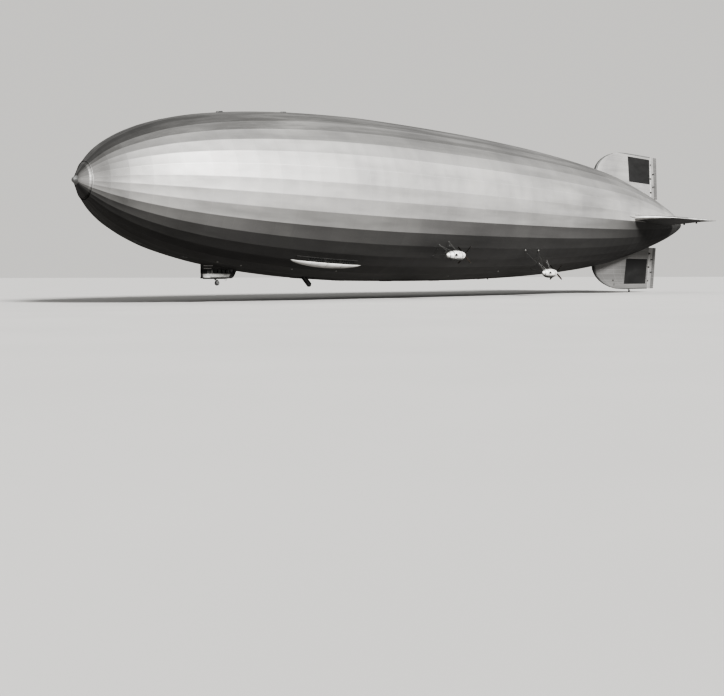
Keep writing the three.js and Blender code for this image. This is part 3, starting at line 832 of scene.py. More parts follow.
class AIRSHIP_OT_stage(bpy.types.Operator):
    """Set the pale floor, the plain backdrop, the soft lights and the camera"""

    bl_idname = "airship.stage"
    bl_label = "Stage"

    def execute(self, context):
        sizes = context.scene.airship_stage
        self.lay_floor(sizes)
        self.hang_backdrop(context, sizes)
        self.place_camera(context)
        for row in LIGHTS:
            self.light(*row)
        context.scene.view_settings.view_transform = "AgX"
        context.scene.view_settings.look = "AgX - High Contrast"
        return {"FINISHED"}

    def lay_floor(self, sizes):
        floor = primitive(
            "plane", "floor", size=2 * sizes.reach, location=(0, 0, CAD_BOX[0].z - sizes.clearance),
        )
        concrete = Finish("pale_floor", tuple(sizes.floor), roughness=0.9)
        mottle = concrete.noise(0.6, detail=5.0)
        tone = tuple(sizes.floor)
        pale = concrete.tones(mottle, (0.3, shade(tone, 0.96)), (0.7, tone))
        seen = concrete.node("LightPath").outputs["Is Camera Ray"]
        concrete.colour(concrete.mix(seen, FLOOR_THROW, pale))  # it throws little light up under the ship
        coat(floor, concrete.material)

    def hang_backdrop(self, context, sizes):
        world = bpy.data.worlds.new("backdrop")
        world.use_nodes = True
        context.scene.world = world
        tree = world.node_tree
        seen, felt = tree.nodes["Background"], tree.nodes.new("ShaderNodeBackground")
        seen.inputs["Color"].default_value = (*sizes.sky, 1)
        felt.inputs["Color"].default_value = (1, 1, 1, 1)
        felt.inputs["Strength"].default_value = SKY_STRENGTH
        path, blend = tree.nodes.new("ShaderNodeLightPath"), tree.nodes.new("ShaderNodeMixShader")
        tree.links.new(path.outputs["Is Camera Ray"], blend.inputs[0])
        tree.links.new(felt.outputs[0], blend.inputs[1])
        tree.links.new(seen.outputs[0], blend.inputs[2])
        tree.links.new(blend.outputs[0], tree.nodes["World Output"].inputs["Surface"])

    def place_camera(self, context):
        lens = bpy.data.cameras.new("camera")
        lens.lens = CAMERA_LENS
        lens.sensor_width = SENSOR
        lens.clip_end = FARTHEST
        camera = bpy.data.objects.new("camera", lens)
        context.scene.collection.objects.link(camera)
        heading, pitch = math.radians(CAMERA_HEADING), math.radians(CAMERA_PITCH)
        level = Vector((-math.sin(heading), -math.cos(heading), 0)) * math.cos(pitch)
        look = level + Vector((0, 0, -math.sin(pitch)))
        roll = Matrix.Rotation(math.radians(CAMERA_ROLL), 4, "Z")
        turn = look.to_track_quat("-Z", "Y").to_matrix().to_4x4() @ roll
        camera.matrix_world = Matrix.Translation(CAMERA_PLACE) @ turn
        context.scene.camera = camera

    def light(self, name, energy, spread, azimuth, elevation):
        """A soft sun, its spread and its two angles in degrees."""
        lamp = bpy.data.lights.new(name, "SUN")
        lamp.energy = energy
        lamp.angle = math.radians(spread)
        holder = bpy.data.objects.new(name, lamp)
        turn, rise = math.radians(azimuth), math.radians(elevation)
        towards = Vector((math.sin(turn) * math.cos(rise), math.cos(turn) * math.cos(rise), math.sin(rise)))
        holder.rotation_euler = towards.to_track_quat("Z", "Y").to_euler()
        bpy.context.scene.collection.objects.link(holder)


# Hull cover
RINGS_PER_BAY = 3
WELL_GAP = Vector((0.0005, 0.0005, 0.05))


class AIRSHIP_OT_hull(bpy.types.Operator):
    """Stretch the fabric cover over its frames and ridges"""

    bl_idname = "airship.hull"
    bl_label = "Hull cover"

    def execute(self, context):
        sizes = context.scene.airship_hull
        frames = self.frame_places(sizes.bay)
        rings = []
        for x0, x1 in zip(frames, frames[1:]):
            rings += [x0 + (x1 - x0) * k / RINGS_PER_BAY for k in range(RINGS_PER_BAY)]
        rings.append(frames[-1])
        cover = ringed(
            "hull_cover", round_rings((x, hull_radius(x)) for x in rings), GORES, GORE / 2,
        )
        coat(
            cover,
            doped_fabric("doped_fabric", tuple(sizes.fabric)),
            doped_fabric("ridge_tape", tuple(sizes.tapes)),
            doped_fabric("frame_tape", shade(sizes.tapes, 0.96)),
        )
        with shaping(cover):
            self.open_ends(cover, frames)
            self.sag(cover, frames, sizes.sag)
            self.tape_frames(cover, frames, sizes.frame_tape)
            tape_ridges(cover, sizes.tape)
        modify(cover, "SOLIDIFY", thickness=sizes.wall, offset=-1)
        cut(cover, *(self.well(side) for side in SIDES))
        finish(cover, "ship", "doped_fabric", smooth=40, replaces=("envelope", "keel_skin"))
        return {"FINISHED"}

    def well(self, side):
        """What is cut out of the belly for a gangway's well."""
        low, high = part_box(side + "_stairwell")
        return box("opening", low - WELL_GAP, high + WELL_GAP)

    def frame_places(self, bay):
        """Frames at the solid's rings, with others between them no more than a bay apart."""
        places = []
        for (x0, _), (x1, _) in zip(HULL_LINE, HULL_LINE[1:]):
            count = math.ceil((x1 - x0) / bay)
            places += [x0 + (x1 - x0) * k / count for k in range(count)]
        return places + [HULL_LINE[-1][0]]

    def open_ends(self, cover, frames):
        ends = (frames[0], frames[-1])
        pick(cover, lambda face: any(same(middle(face).x, x) for x in ends))
        bpy.ops.mesh.delete(type="ONLY_FACE")

    def sag(self, cover, frames, depth):
        """Each flat side gets a middle line, which dips between the frames."""
        pick(cover, lambda edge: same(edge.verts[0].co.x, edge.verts[1].co.x), "EDGE")
        bpy.ops.mesh.subdivide(number_cuts=1)

        def dips(vertex):
            off_corner = math.atan2(vertex.co.y, vertex.co.z) / GORE
            between = min(abs(vertex.co.x - x) for x in frames) > 1e-3
            return between and abs(off_corner - round(off_corner)) < 0.1

        pick(cover, dips, "VERT")
        bpy.ops.transform.shrink_fatten(value=-depth)

    def tape_frames(self, cover, frames, width):
        inner = frames[1:-1]

        def on_frame(edge):
            a, b = (vertex.co.x for vertex in edge.verts)
            return same(a, b) and any(same(a, x, 1e-3) for x in inner)

        pick(cover, on_frame, "EDGE")
        chamfer(width, material=2)


# Nose and tail: station and radius in real metres
NOSE = ((0.8, 1.0), (1.1, 1.66), (1.5, 2.3), (2.0, 3.13), (2.5, 3.9))
SPINDLE = (
    (0.0, 0.12), (0.02, 0.36), (0.06, 0.42), (0.15, 0.5), (0.4, 0.66), (0.44, 0.74), (0.52, 0.74),
    (0.56, 0.8), (0.78, 0.95), (0.8, 0.98), (0.9, 0.98), (0.9, 0.3), (3.0, 0.3),
)
TAIL = (
    (236, 4.1), (238, 3.46), (240, 2.75), (241.5, 2.16), (243, 1.5), (244, 0.95), (244.6, 0.55), (245, 0.08),
)
TAIL_LAMP = (
    (244.7, 0.2), (244.74, 0.24), (244.84, 0.24), (244.86, 0.19), (244.92, 0.18), (245.02, 0.155),
    (245.09, 0.1), (245.12, 0.03),
)


def real_rings(table):
    return round_rings((station_x(s), r * SCALE) for s, r in table)


class AIRSHIP_OT_nose_and_tail(bpy.types.Operator):
    """Build the nose cap, the mooring spindle and the tail cone"""

    bl_idname = "airship.nose_and_tail"
    bl_label = "Nose and tail"

    def execute(self, context):
        sizes = context.scene.airship_hull
        cloth = doped_fabric("end_fabric", tuple(sizes.fabric))
        tape = bpy.data.materials["ridge_tape"]
        steel = bare_metal("nose_metal", (0.5, 0.5, 0.49), roughness=0.4)
        for node, table, slimmer in (("nose_cap", NOSE, 0.35), ("tail_cone", TAIL, 0.4)):
            end = ringed(node + "_cover", real_rings(table), GORES, GORE / 2)
            coat(end, cloth, tape)
            with shaping(end):
                tape_ridges(end, slimmer * sizes.tape)
            only(end)
            bpy.ops.object.shade_smooth()
            finish(end, "ship", "doped_fabric", replaces=(node,))
        spindle = ringed("mooring_spindle_turned", real_rings(SPINDLE), sides=40)
        finish(spindle, "ship", "bare_metal", steel, smooth=30, replaces=("mooring_spindle",))
        for name, station, count, ring in (("nose_bolts", 0.79, 18, 0.86), ("nose_rim_bolts", 0.44, 12, 0.7)):
            place = Matrix.Translation((station_x(station), 0, 0)) @ about("Y", 90)
            row = bolts(name, count, ring * SCALE, radius=0.004, height=0.003, place=place)
            finish(row, "ship", "bare_metal", steel, smooth=40)
        for name, station, thick in (("nose_joint_band", 2.52, 0.003), ("tail_joint_band", 236.0, 0.005)):
            x = station_x(station)
            edges = (x + 2 * thick, x - 2 * thick)
            rings = round_rings((edge, hull_radius(edge) + thick / 2) for edge in edges)
            band = strap(name, rings, GORES, GORE / 2, thick, bevel=0.001)
            finish(band, "ship", "doped_fabric", tape, smooth=30)
        lamp = ringed("tail_lamp", real_rings(TAIL_LAMP), sides=28)
        finish(lamp, "ship", "clear_glass", lens_glass("lamp_glass", (0.85, 0.84, 0.8)), smooth=35)
        return {"FINISHED"}


# Ridge and belly fittings
HOODS = (35, 53, 75, 98, 121, 144, 167)
RIDGE_HATCHES = (20, 44, 64, 86.5, 109.5, 132.5, 155.5, 178)
LAMPS = (
    # station, angle from the ridge
    (31, 164.3), (36.8, 163), (49.7, 157.6), (62.05, 154.4), (104, 160), (152, 158),
    (122.9, 152.5), (126.7, 126.6), (133.2, 127.1),
)
HOOD = {"back": -0.13, "front": 0.09, "half": 0.045, "sunk": 0.02, "top": 0.042, "rounding": 0.006}
RIDGE_LID = {"radius": 0.045, "deep": 0.012, "rim": 0.007}
HATCH_RIM = 0.009
STEP_IN = 0.002  # the narrow step between a rim and its sunk middle
BEZEL = (
    # height, radius
    (-0.012, 0.024), (0.0, 0.024), (0.0025, 0.0232), (0.0035, 0.0215), (0.0035, 0.0195), (0.0015, 0.0185),
    (-0.002, 0.0183),
)
BOWL = (
    (-0.006, 0.0178), (0.001, 0.0178), (0.005, 0.0165), (0.0085, 0.0135), (0.0105, 0.009), (0.0115, 0.003),
)
BELLY_HATCHES = (
    # station, angle, length, width in real metres
    (14, 180, 2.2, 1.4), (24, 172, 1.4, 1.0), (44, 180, 1.6, 1.3), (70, 180, 3.0, 1.5),
    (79, 169, 1.4, 1.0), (87, 180, 3.0, 1.5), (106, 180, 3.0, 1.5), (118, 171, 1.4, 1.0),
    (126, 180, 3.0, 1.5), (150, 180, 2.2, 1.4), (163, 172, 1.4, 1.0), (176, 180, 2.2, 1.4),
)


class AIRSHIP_OT_ridge(bpy.types.Operator):
    """Set the vent hoods and the climbing hatches along the ridge"""

    bl_idname = "airship.ridge"
    bl_label = "Ridge fittings"

    def execute(self, context):
        sheet = painted_sheet("hood_paint", (0.2, 0.2, 0.195), roughness=0.5)
        dark = dark_paint("hood_shadow", (0.02, 0.02, 0.02))
        hood = self.hood(sheet, dark)
        for k, station in enumerate(HOODS):
            made = copied(hood, f"ridge_hood_{k + 1}", seat(station, 0))
            finish(made, "ship", "painted_sheet", smooth=35)
        drop(hood)
        for k, station in enumerate(RIDGE_HATCHES):
            self.hatch(f"ridge_hatch_{k + 1}", station, sheet)
        return {"FINISHED"}

    def hood(self, sheet, dark):
        """A raised cowl with slanted ends, and sunk fields on its sides and back painted dark as their shade.
        """
        low = (HOOD["back"], -HOOD["half"], -HOOD["sunk"])
        hood = box("hood", low, (HOOD["front"], HOOD["half"], HOOD["top"]))
        coat(hood, sheet, dark)
        with shaping(hood):
            pick(hood, lambda face: face.normal.z > 0.9)
            resize(0.5, 0.86, 1, (0, 0, HOOD["top"]))
            bpy.ops.mesh.select_all(action="SELECT")
            chamfer(HOOD["rounding"], segments=3)
            for faces_out, rim, deep in (
                (lambda way: way.y > 0.9, 0.006, 0.004),
                (lambda way: way.y < -0.9, 0.006, 0.004),
                (lambda way: way.x < -0.2, 0.007, 0.02),
            ):
                pick(hood, lambda face: faces_out(face.normal) and face.calc_area() > 0.001)
                inset(rim)
                inset(STEP_IN, -deep)
                # The sunk fields take the dark paint: painted shade.
                assign(hood, 1)
        return hood

    def hatch(self, name, station, sheet):
        lid = primitive("cylinder", name, vertices=32, radius=RIDGE_LID["radius"], depth=RIDGE_LID["deep"])

        def on_top(edge):
            a, b = (vertex.co for vertex in edge.verts)
            return same(a.z, b.z, 1e-5) and middle(edge).z > 0

        with shaping(lid):
            pick(lid, lambda face: face.normal.z > 0.9)
            inset(RIDGE_LID["rim"])
            inset(STEP_IN, depth=-0.003)
            pick(lid, on_top, "EDGE")
            chamfer(0.0012, segments=2)
        lid.data.transform(seat(station, 0))
        finish(lid, "ship", "painted_sheet", sheet, smooth=40)


class AIRSHIP_OT_belly(bpy.types.Operator):
    """Set the hatches, their hinges and the lamps along the belly"""

    bl_idname = "airship.belly"
    bl_label = "Belly fittings"

    def execute(self, context):
        sheet = painted_sheet("hatch_paint", (0.2, 0.2, 0.195), roughness=0.5)
        metal = bare_metal("fitting_metal", (0.55, 0.55, 0.54))
        glass = lens_glass("belly_lamp_glass", (0.9, 0.88, 0.82))
        for k, (station, angle, long, wide) in enumerate(BELLY_HATCHES):
            self.hatch(k + 1, seat(station, angle), long * SCALE / 2, wide * SCALE / 2, sheet, metal)
        for k, (station, angle) in enumerate(LAMPS):
            for side, sign in SIDES.items():
                self.lamp(f"belly_lamp_{side}_{k + 1}", seat(station, sign * angle), metal, glass)
        return {"FINISHED"}

    def hatch(self, number, place, half, wide, sheet, metal):
        lid = box(f"belly_hatch_{number}", (-half, -wide, -0.012), (half, wide, 0.004), bevel=0.003)
        with shaping(lid):
            pick(lid, lambda face: face.normal.z > 0.9)
            inset(HATCH_RIM)
            inset(STEP_IN, -STEP_IN)
        hinges = [
            bar("hinge", (x - 0.012, -wide - 0.002, 0.004), (x + 0.012, -wide - 0.002, 0.004), radius=0.0035)
            for x in (-half * 0.6, half * 0.6)
        ]
        bends = ((-0.012, 0.002), (-0.012, 0.009), (0.012, 0.009), (0.012, 0.002))
        handle = tube("handle", [(x, wide * 0.7, z) for x, z in bends], radius=0.0016)
        fittings = join(f"belly_hatch_fittings_{number}", hinges + [handle])
        finish(placed(lid, place), "ship", "painted_sheet", sheet, smooth=35)
        finish(placed(fittings, place), "ship", "bare_metal", metal, smooth=35)

    def lamp(self, name, place, metal, glass):
        bezel = placed(turned(name + "_bezel", BEZEL), place)
        bowl = placed(turned(name + "_bowl", BOWL, sides=24), place)
        finish(bezel, "ship", "bare_metal", metal, smooth=60)
        finish(bowl, "ship", "clear_glass", glass, smooth=60)


# Passenger quarters and gangways
WINDOWS = {
    "front": 47.5, "back": 65.5, "angle": 142.2, "half": 0.5, "proud": 0.007, "sill": 0.012, "facet": 140,
}
PANES = {"groups": (51.0, 55.65, 60.3), "count": 6, "long": 0.7}
LEDGE = {"front": 46.5, "back": 67.5, "top_angle": 145.0, "low_angle": 151.0, "deep": 0.52, "facet": 150}
LEDGE_STEPS = 28
LEDGE_SEAMS = (8, 14, 20)  # counted in steps


class AIRSHIP_OT_quarters(bpy.types.Operator):
    """Build the promenade window strips and the fairing ledges below them"""

    bl_idname = "airship.quarters"
    bl_label = "Passenger quarters"

    def execute(self, context):
        hull = context.scene.airship_hull
        trim = painted_sheet("window_frame_paint", (0.07, 0.07, 0.068), roughness=0.45)
        cloth = doped_fabric("strip_fabric", tuple(hull.fabric))
        glass = window_glass("promenade_glass")
        light = painted_sheet("ledge_paint", (0.78, 0.77, 0.74), roughness=0.5, metallic=0.1)
        seam = dark_paint("ledge_seam", (0.2, 0.2, 0.19))
        strip, ledge = self.strip(trim, glass, cloth), self.ledge(light, seam)
        for side, sign in SIDES.items():
            place = Matrix.Identity(4) if sign > 0 else MIRROR
            made = copied(strip, side + "_promenade_strip", place)
            finish(made, "ship", "window_glass", smooth=20, replaces=(side + "_promenade_windows",))
            made = copied(ledge, side + "_promenade_fairing", place)
            finish(made, "ship", "painted_sheet", smooth=50, replaces=(side + "_promenade_ledge",))
        drop(strip, ledge)
        return {"FINISHED"}

    def strip(self, trim, glass, cloth):
        """Three groups of panes between plain sheets, along one of the hull's flat sides."""
        groups = [(start, start + PANES["count"] * PANES["long"]) for start in PANES["groups"]]
        stops = [WINDOWS["front"] + PANES["long"] * k for k in range(PANES["count"] - 1)]
        for start, _ in groups:
            stops += [start + PANES["long"] * k for k in range(PANES["count"] + 1)]
        stops.append(WINDOWS["back"])
        lean = math.radians(WINDOWS["angle"] - WINDOWS["facet"])
        half, sill = WINDOWS["half"] * SCALE * math.sqrt(2), WINDOWS["sill"] * math.sqrt(2)
        rings = []
        for x in (station_x(stop) for stop in stops):
            r = hull_radius(x) * math.cos(GORE / 2)
            rings.append((x, half, sill, r * math.tan(lean), r + WINDOWS["proud"] - WINDOWS["sill"]))
        strip = ringed("strip", rings, sides=4, turn=math.pi / 4)
        coat(strip, cloth, trim, glass)

        def glazed(face):
            x = middle(face).x
            return face.normal.z > 0.9 and any(station_x(start) > x > station_x(end) for start, end in groups)

        with shaping(strip):
            pick(strip, glazed)
            assign(strip, 1)
            inset(0.006, each=True)
            inset(0.0015, depth=-0.006, each=True)
            inset(0.0005, each=True)
            assign(strip, 2)
        strip.data.transform(about_x(-WINDOWS["facet"]))
        return strip

    def ledge(self, light, seam):
        """A long blister of joined sheets: straight along its top, bowed below."""
        low, high = LEDGE["front"], LEDGE["back"]
        rings = []
        for k in range(LEDGE_STEPS + 1):
            part = min(max(k / LEDGE_STEPS, 0.004), 0.996)
            swell = math.sqrt(math.sin(math.pi * part))
            x = station_x(low + (high - low) * part)
            r = hull_radius(x) * math.cos(GORE / 2)
            top = r * math.tan(math.radians(LEDGE["top_angle"] - LEDGE["facet"]))
            foot = r * math.tan(math.radians(LEDGE["low_angle"] - LEDGE["facet"]))
            half = (foot - top) / 2 * swell
            rings.append((x, half, LEDGE["deep"] * SCALE * swell, top + half, r - 0.004))
        ledge = ringed("ledge", rings, sides=24)
        coat(ledge, light, seam)

        def on_seam(edge):
            a, b = (vertex.co.x for vertex in edge.verts)
            return same(a, b, 1e-5) and any(same(a, rings[k][0]) for k in LEDGE_SEAMS)

        with shaping(ledge):
            pick(ledge, on_seam, "EDGE")
            chamfer(0.002, material=1)
        ledge.data.transform(about_x(-LEDGE["facet"]))
        return ledge


LOWERED = -46  # degrees, as the port gangway stands
TREADS = 10
COAMING = 0.006
SCREEN = {"back": 0.045, "front": 0.312, "out": 0.044, "half": 0.001, "foot": 0.02, "top": 0.06}


class AIRSHIP_OT_gangways(bpy.types.Operator):
    """Finish the gangways and frame their wells"""

    bl_idname = "airship.gangways"
    bl_label = "Gangways"

    def execute(self, context):
        alloy = bare_metal("gangway_metal", (0.2, 0.2, 0.2), roughness=0.5)
        liner = painted_sheet("well_paint", (0.16, 0.16, 0.155), roughness=0.55)
        grip = dark_paint("tread_rubber", (0.03, 0.03, 0.03))
        for side, sign in SIDES.items():
            coat(frame["nodes"][side + "_gangway"], alloy)
            coat(frame["nodes"][side + "_stairwell"], liner)
            low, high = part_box(side + "_stairwell")
            belly = -hull_radius((low.x + high.x) / 2) * math.cos(GORE / 2)
            y = (low.y + high.y) / 2
            wide = (high.y - low.y) / 2 + COAMING
            front, back = high.x + COAMING, low.x - COAMING
            ring = [(back, y - wide), (front, y - wide), (front, y + wide), (back, y + wide)]
            line = [(x, w, belly + self.rise(x, w)) for x, w in ring]
            coaming = tube(side + "_well_coaming", line, COAMING, closed=True)
            finish(coaming, "ship", "bare_metal", alloy, smooth=40)
            self.screens(side, sign)
        self.port_treads(grip)
        return {"FINISHED"}

    def screens(self, side, sign):
        """Canvas between the flight and each handrail."""
        canvas = dark_paint("gangway_canvas", (0.05, 0.05, 0.048))
        sheets = []
        back, front, half = SCREEN["back"], SCREEN["front"], SCREEN["half"]
        for y in (SCREEN["out"], -SCREEN["out"]):
            sheet = box("sheet", (back, y - half, SCREEN["foot"]), (front, y + half, SCREEN["top"]))
            with shaping(sheet):
                pick(sheet, lambda face: face.normal.z > 0.9)
                resize(0.72, 1, 1, ((back + front) / 2, y, SCREEN["top"]))
                shift(0.0255, 0, 0)
            sheets.append(sheet)
        lowered = about("Y", LOWERED if sign > 0 else 0)
        joint = next(row for row in frame["joints"] if row["name"] == side + "_gangway_hinge")
        place = Matrix.Translation(joint["pos_m"]) @ lowered @ about("Z", 180)
        made = placed(join(side + "_gangway_screens", sheets), place)
        finish(made, side + "_gangway", "painted_sheet", canvas, smooth=35)

    def rise(self, x, y):
        """How far the skin lies above the belly line at a point of the belly."""
        flat = -hull_radius(x) * math.cos(GORE / 2)
        low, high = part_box("port_stairwell")
        middle_belly = -hull_radius((low.x + high.x) / 2)
        turn = round(math.atan2(abs(y), -flat) / GORE) * GORE
        skin = (flat + math.sin(turn) * abs(y)) / math.cos(turn)
        return skin - middle_belly * math.cos(GORE / 2)

    def port_treads(self, grip):
        """Rubber nosings on the lowered flight, stepping from the hinge to the foot."""
        low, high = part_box("port_gangway")
        top, foot = Vector((high.x - 0.035, 0, high.z - 0.035)), Vector((low.x + 0.03, 0, low.z + 0.03))
        strips = []
        for k in range(TREADS):
            place = top.lerp(foot, (k + 0.5) / TREADS)
            corners = ((-0.007, low.y + 0.008, -0.001), (0.007, high.y - 0.008, 0.003))
            strips.append(box("strip", *(place + Vector(corner) for corner in corners), 0.001))
        finish(join("port_gangway_nosings", strips), "port_gangway", "tyre_rubber", grip, smooth=35)


# Fins and their surfaces
FIN = {
    "lead_root": 185.5, "lead_top": 205.0, "shoulder": 15.4, "tip": 23.9, "foot": 5.0, "hinge": 221.5,
    "thick_root": 3.6, "thick_tip": 0.5, "thick_from": 8.0, "tail": 0.62,
}
FIN_PROFILE = (
    # share of the chord, share of the thickness
    (0.0, 0.42), (0.006, 0.54), (0.018, 0.62), (0.045, 0.68), (0.1, 0.77), (0.2, 0.88), (0.32, 0.96),
    (0.45, 1.0), (0.6, 0.93), (0.75, 0.85), (0.88, 0.74), (1.0, 0.62),
)
FIN_HEIGHTS = (5.0, 8.0, 10.0, 12.0, 13.8, 15.4, 17.0, 18.4, 19.6, 20.7, 21.6, 22.4, 23.0, 23.5, 23.7, 23.9)
FIN_RIBS = (8.0, 10.0, 12.0, 13.8, 15.4, 17.0, 18.4, 19.6, 20.7, 21.6, 22.4)
FIN_BATTENS = (0.1, 0.32, 0.45, 0.6, 0.75, 0.88)
FIN_PANELS = {"upper": (205.8, 220.6, 13.95, 22.8), "lower": (204.9, 219.8, 13.1, 22.0)}
FIN_TAPE = 0.0045
EDGE_SHARE = 0.018  # of the chord, painted dark as shade
NOSE_SHARE = 0.075  # of the chord, the nose of a level fin, painted light as a highlight
FIN_RIM = 23.5
TAPED_BELOW = 22.4
HINGES = (11, 16, 21)
ARM = {"back": 0.01, "front": 0.03, "thick": 0.016, "half": 0.015, "pin": 0.052, "pin_radius": 0.006}
# A dark bead along a level fin's leading edge stands as painted shade.
BEAD = {"from": 13, "ahead": 0.01, "down": 0.24, "radius": 0.012}  # down as a share of the thickness
CORE_DEPTH = 0.035  # how far inside the hull a fin ends
FAIRING = {"front": -4, "back": 2, "half": 0.45, "high": 0.3, "steps": 12}


def fin_thickness(height):
    share = (height - FIN["thick_from"]) / (FIN["tip"] - FIN["thick_from"])
    return FIN["thick_root"] + (FIN["thick_tip"] - FIN["thick_root"]) * share


def hinge_radius(height):
    return FIN["tail"] * fin_thickness(height) / 2


def fin_lead(height):
    up = min(max((height - FIN["shoulder"]) / (FIN["tip"] - FIN["shoulder"]), 0), 1)
    return FIN["lead_top"] - (FIN["lead_top"] - FIN["lead_root"]) * math.sqrt(1 - up * up)


def fin_trail(height):
    return FIN["hinge"] - hinge_radius(height) - 0.08


class AIRSHIP_OT_fins(bpy.types.Operator):
    """Build the four fins over their ribs, with the plain dark panels on the upright ones"""

    bl_idname = "airship.fins"
    bl_label = "Fins"

    def execute(self, context):
        sizes = context.scene.airship_hull
        # The lower fin's cloth and the undersides' cloth and tapes are darker: painted shade.
        cloth, tape, shaded, under, under_tape = (
            doped_fabric(name, shade(sizes.fabric, tone), with_painted_shade=False) for name, tone in (
                ("fin_fabric", 0.98), ("fin_tape", 0.84), ("lower_fin_fabric", 0.62),
                ("fin_underside", 0.26), ("fin_underside_tape", 0.36),
            )
        )
        # A dark paint: on the fins' edges and beads it stands as painted shade.
        edge = painted_sheet("fin_edge", (0.16, 0.16, 0.155), roughness=0.45)
        # The level fins' nose is painted light: a painted highlight on the leading edge.
        nose = painted_sheet("fin_nose", (0.92, 0.91, 0.89), roughness=0.45)
        panel = dark_paint("plain_panel", tuple(context.scene.airship_fins.panel))
        metal = bare_metal("hinge_metal", (0.3, 0.3, 0.3))
        plain = self.slab()
        coat(plain, cloth, tape, edge, panel)
        self.lay_tapes(plain)
        for place, turn in QUARTERS.items():
            fin = copied(plain, place + "_fin_cover")
            if place in FIN_PANELS:
                self.paint_panel(fin, *FIN_PANELS[place])
            else:
                side = 1 if place == "port" else -1
                coat(fin, cloth, tape, edge, nose, under, under_tape)
                self.paint_level_fin(fin, side)
                # A dark bead along the top of the leading edge: painted shade.
                bead = tube(place + "_fin_bead", self.upper_edge(side), BEAD["radius"])
                bead.data.transform(about_x(turn))
                finish(bead, "ship", "painted_sheet", edge, smooth=40)
            # Painted shade: the lower fin's cloth is darker.
            if place == "lower":
                fin.data.materials[0] = shaded
            self.trim(fin)
            fin.data.transform(about_x(turn))
            finish(fin, "ship", "doped_fabric", smooth=28, replaces=(place + "_fin",))
            self.hinges(place, turn, metal)
            fairing = self.root_fairing(place + "_fin_root_fairing")
            fairing.data.transform(about_x(turn))
            finish(fairing, "ship", "doped_fabric", cloth, smooth=40)
        self.lower_fittings(edge, window_glass("fin_glass"))
        drop(plain)
        return {"FINISHED"}

    def slab(self):
        """A slab cut into strips along and across, then resized line by line to the fin's lines."""
        lead, trail = station_x(FIN["lead_root"]), station_x(FIN["hinge"])
        foot, tip = FIN_HEIGHTS[0] * SCALE, FIN_HEIGHTS[-1] * SCALE
        slab = box("fin", (trail, -1, foot), (lead, 1, tip))
        with shaping(slab):
            for share, _ in FIN_PROFILE[1:-1]:
                slice_at((lead + (trail - lead) * share, 0, 0), "X")
            for height in FIN_HEIGHTS[1:-1]:
                slice_at((0, 0, height * SCALE), "Z")
            for share, thick in FIN_PROFILE:
                x = lead + (trail - lead) * share
                pick(slab, lambda vertex: same(vertex.co.x, x), "VERT")
                resize(1, thick, 1, (x, 0, 0))
            for height in FIN_HEIGHTS:
                pick(slab, lambda vertex: same(vertex.co.z, height * SCALE), "VERT")
                chord = (fin_trail(height) - fin_lead(height)) * SCALE / (lead - trail)
                thick = fin_thickness(height) * SCALE / 2 * (0.4 if height == FIN["tip"] else 1)
                resize(chord, thick, 1, (trail, 0, height * SCALE))
                shift(station_x(fin_trail(height)) - trail, 0, 0)
        return slab

    def share_of(self, point):
        """Where a point lies between the fin's leading and trailing edges."""
        height = point.z / SCALE
        lead, trail = station_x(fin_lead(height)), station_x(fin_trail(height))
        return (point.x - lead) / (trail - lead)

    def near_rim(self, face, share):
        return self.share_of(middle(face)) < share or middle(face).z > FIN_RIM * SCALE

    def lay_tapes(self, fin):
        def on_line(edge):
            a, b = (vertex.co for vertex in edge.verts)
            if abs((a - b).y) > 0.6 * (a - b).length:
                return False
            if same(a.z, b.z):
                return any(same(a.z / SCALE, height, 1e-2) for height in FIN_RIBS)
            on_batten = any(same(self.share_of(a), share, 4e-3) for share in FIN_BATTENS)
            return on_batten and middle(edge).z / SCALE < TAPED_BELOW

        with shaping(fin):
            pick(fin, on_line, "EDGE")
            chamfer(FIN_TAPE, material=1)
            # A dark strip along each fin's leading edge and top: painted shade.
            pick(fin, lambda face: self.near_rim(face, EDGE_SHARE))
            assign(fin, 2)

    def paint_panel(self, fin, front, back, low, high):
        """A plain dark field, cut out of the skin by four straight lines on both sides."""
        x0, x1 = station_x(back), station_x(front)
        z0, z1 = low * SCALE, high * SCALE
        with shaping(fin):
            for x in (x0, x1):
                slice_at((x, 0, 0), "X")
            for z in (z0, z1):
                slice_at((0, 0, z), "Z")

            def inside(face):
                point = middle(face)
                return x0 < point.x < x1 and z0 < point.z < z1 and abs(face.normal.y) > 0.5

            pick(fin, inside)
            assign(fin, 3)

    def paint_level_fin(self, fin, side):
        """A nose painted light below as a painted highlight, a strip painted dark above as painted shade, and
        cloth darkened on the fin's underside as painted shade.
        """

        with shaping(fin):
            for material, low_side, share, was in (
                (4, True, 1.1, 0), (5, True, 1.1, 1), (3, True, NOSE_SHARE, None), (2, False, 0.03, None),
            ):
                def chosen(face):
                    right_side = (face.normal.y * side > -0.3) == low_side
                    return right_side and self.near_rim(face, share) and was in (None, face.material_index)

                pick(fin, chosen)
                assign(fin, material)

    def upper_edge(self, side):
        """The line along the top of a level fin's leading edge, from near its shoulder to its tip."""
        line = []
        for height in FIN_HEIGHTS:
            if height > BEAD["from"]:
                down = -side * BEAD["down"] * fin_thickness(height) * SCALE
                line.append((station_x(fin_lead(height)) - BEAD["ahead"], down, height * SCALE))
        return line

    def trim(self, fin):
        """Takes away what would lie deep inside the hull."""
        places = [station_x(s) for s in range(184, 225, 4)]
        rings = round_rings((x, hull_radius(x) - CORE_DEPTH) for x in places)
        cut(fin, ringed("core", rings, GORES, GORE / 2))

    def root_fairing(self, name):
        """A slender blister that leads the air onto a fin's leading edge."""
        front, back = FIN["lead_root"] + FAIRING["front"], FIN["lead_root"] + FAIRING["back"]
        rings = []
        for k in range(FAIRING["steps"] + 1):
            part = max(k / FAIRING["steps"], 0.01)
            x = station_x(front + (back - front) * part)
            swell = math.sqrt(part) * SCALE
            axis = hull_radius(x) * math.cos(GORE / 2)
            rings.append((x, FAIRING["half"] * swell, FAIRING["high"] * swell, 0, axis))
        return ringed(name, rings, sides=20)

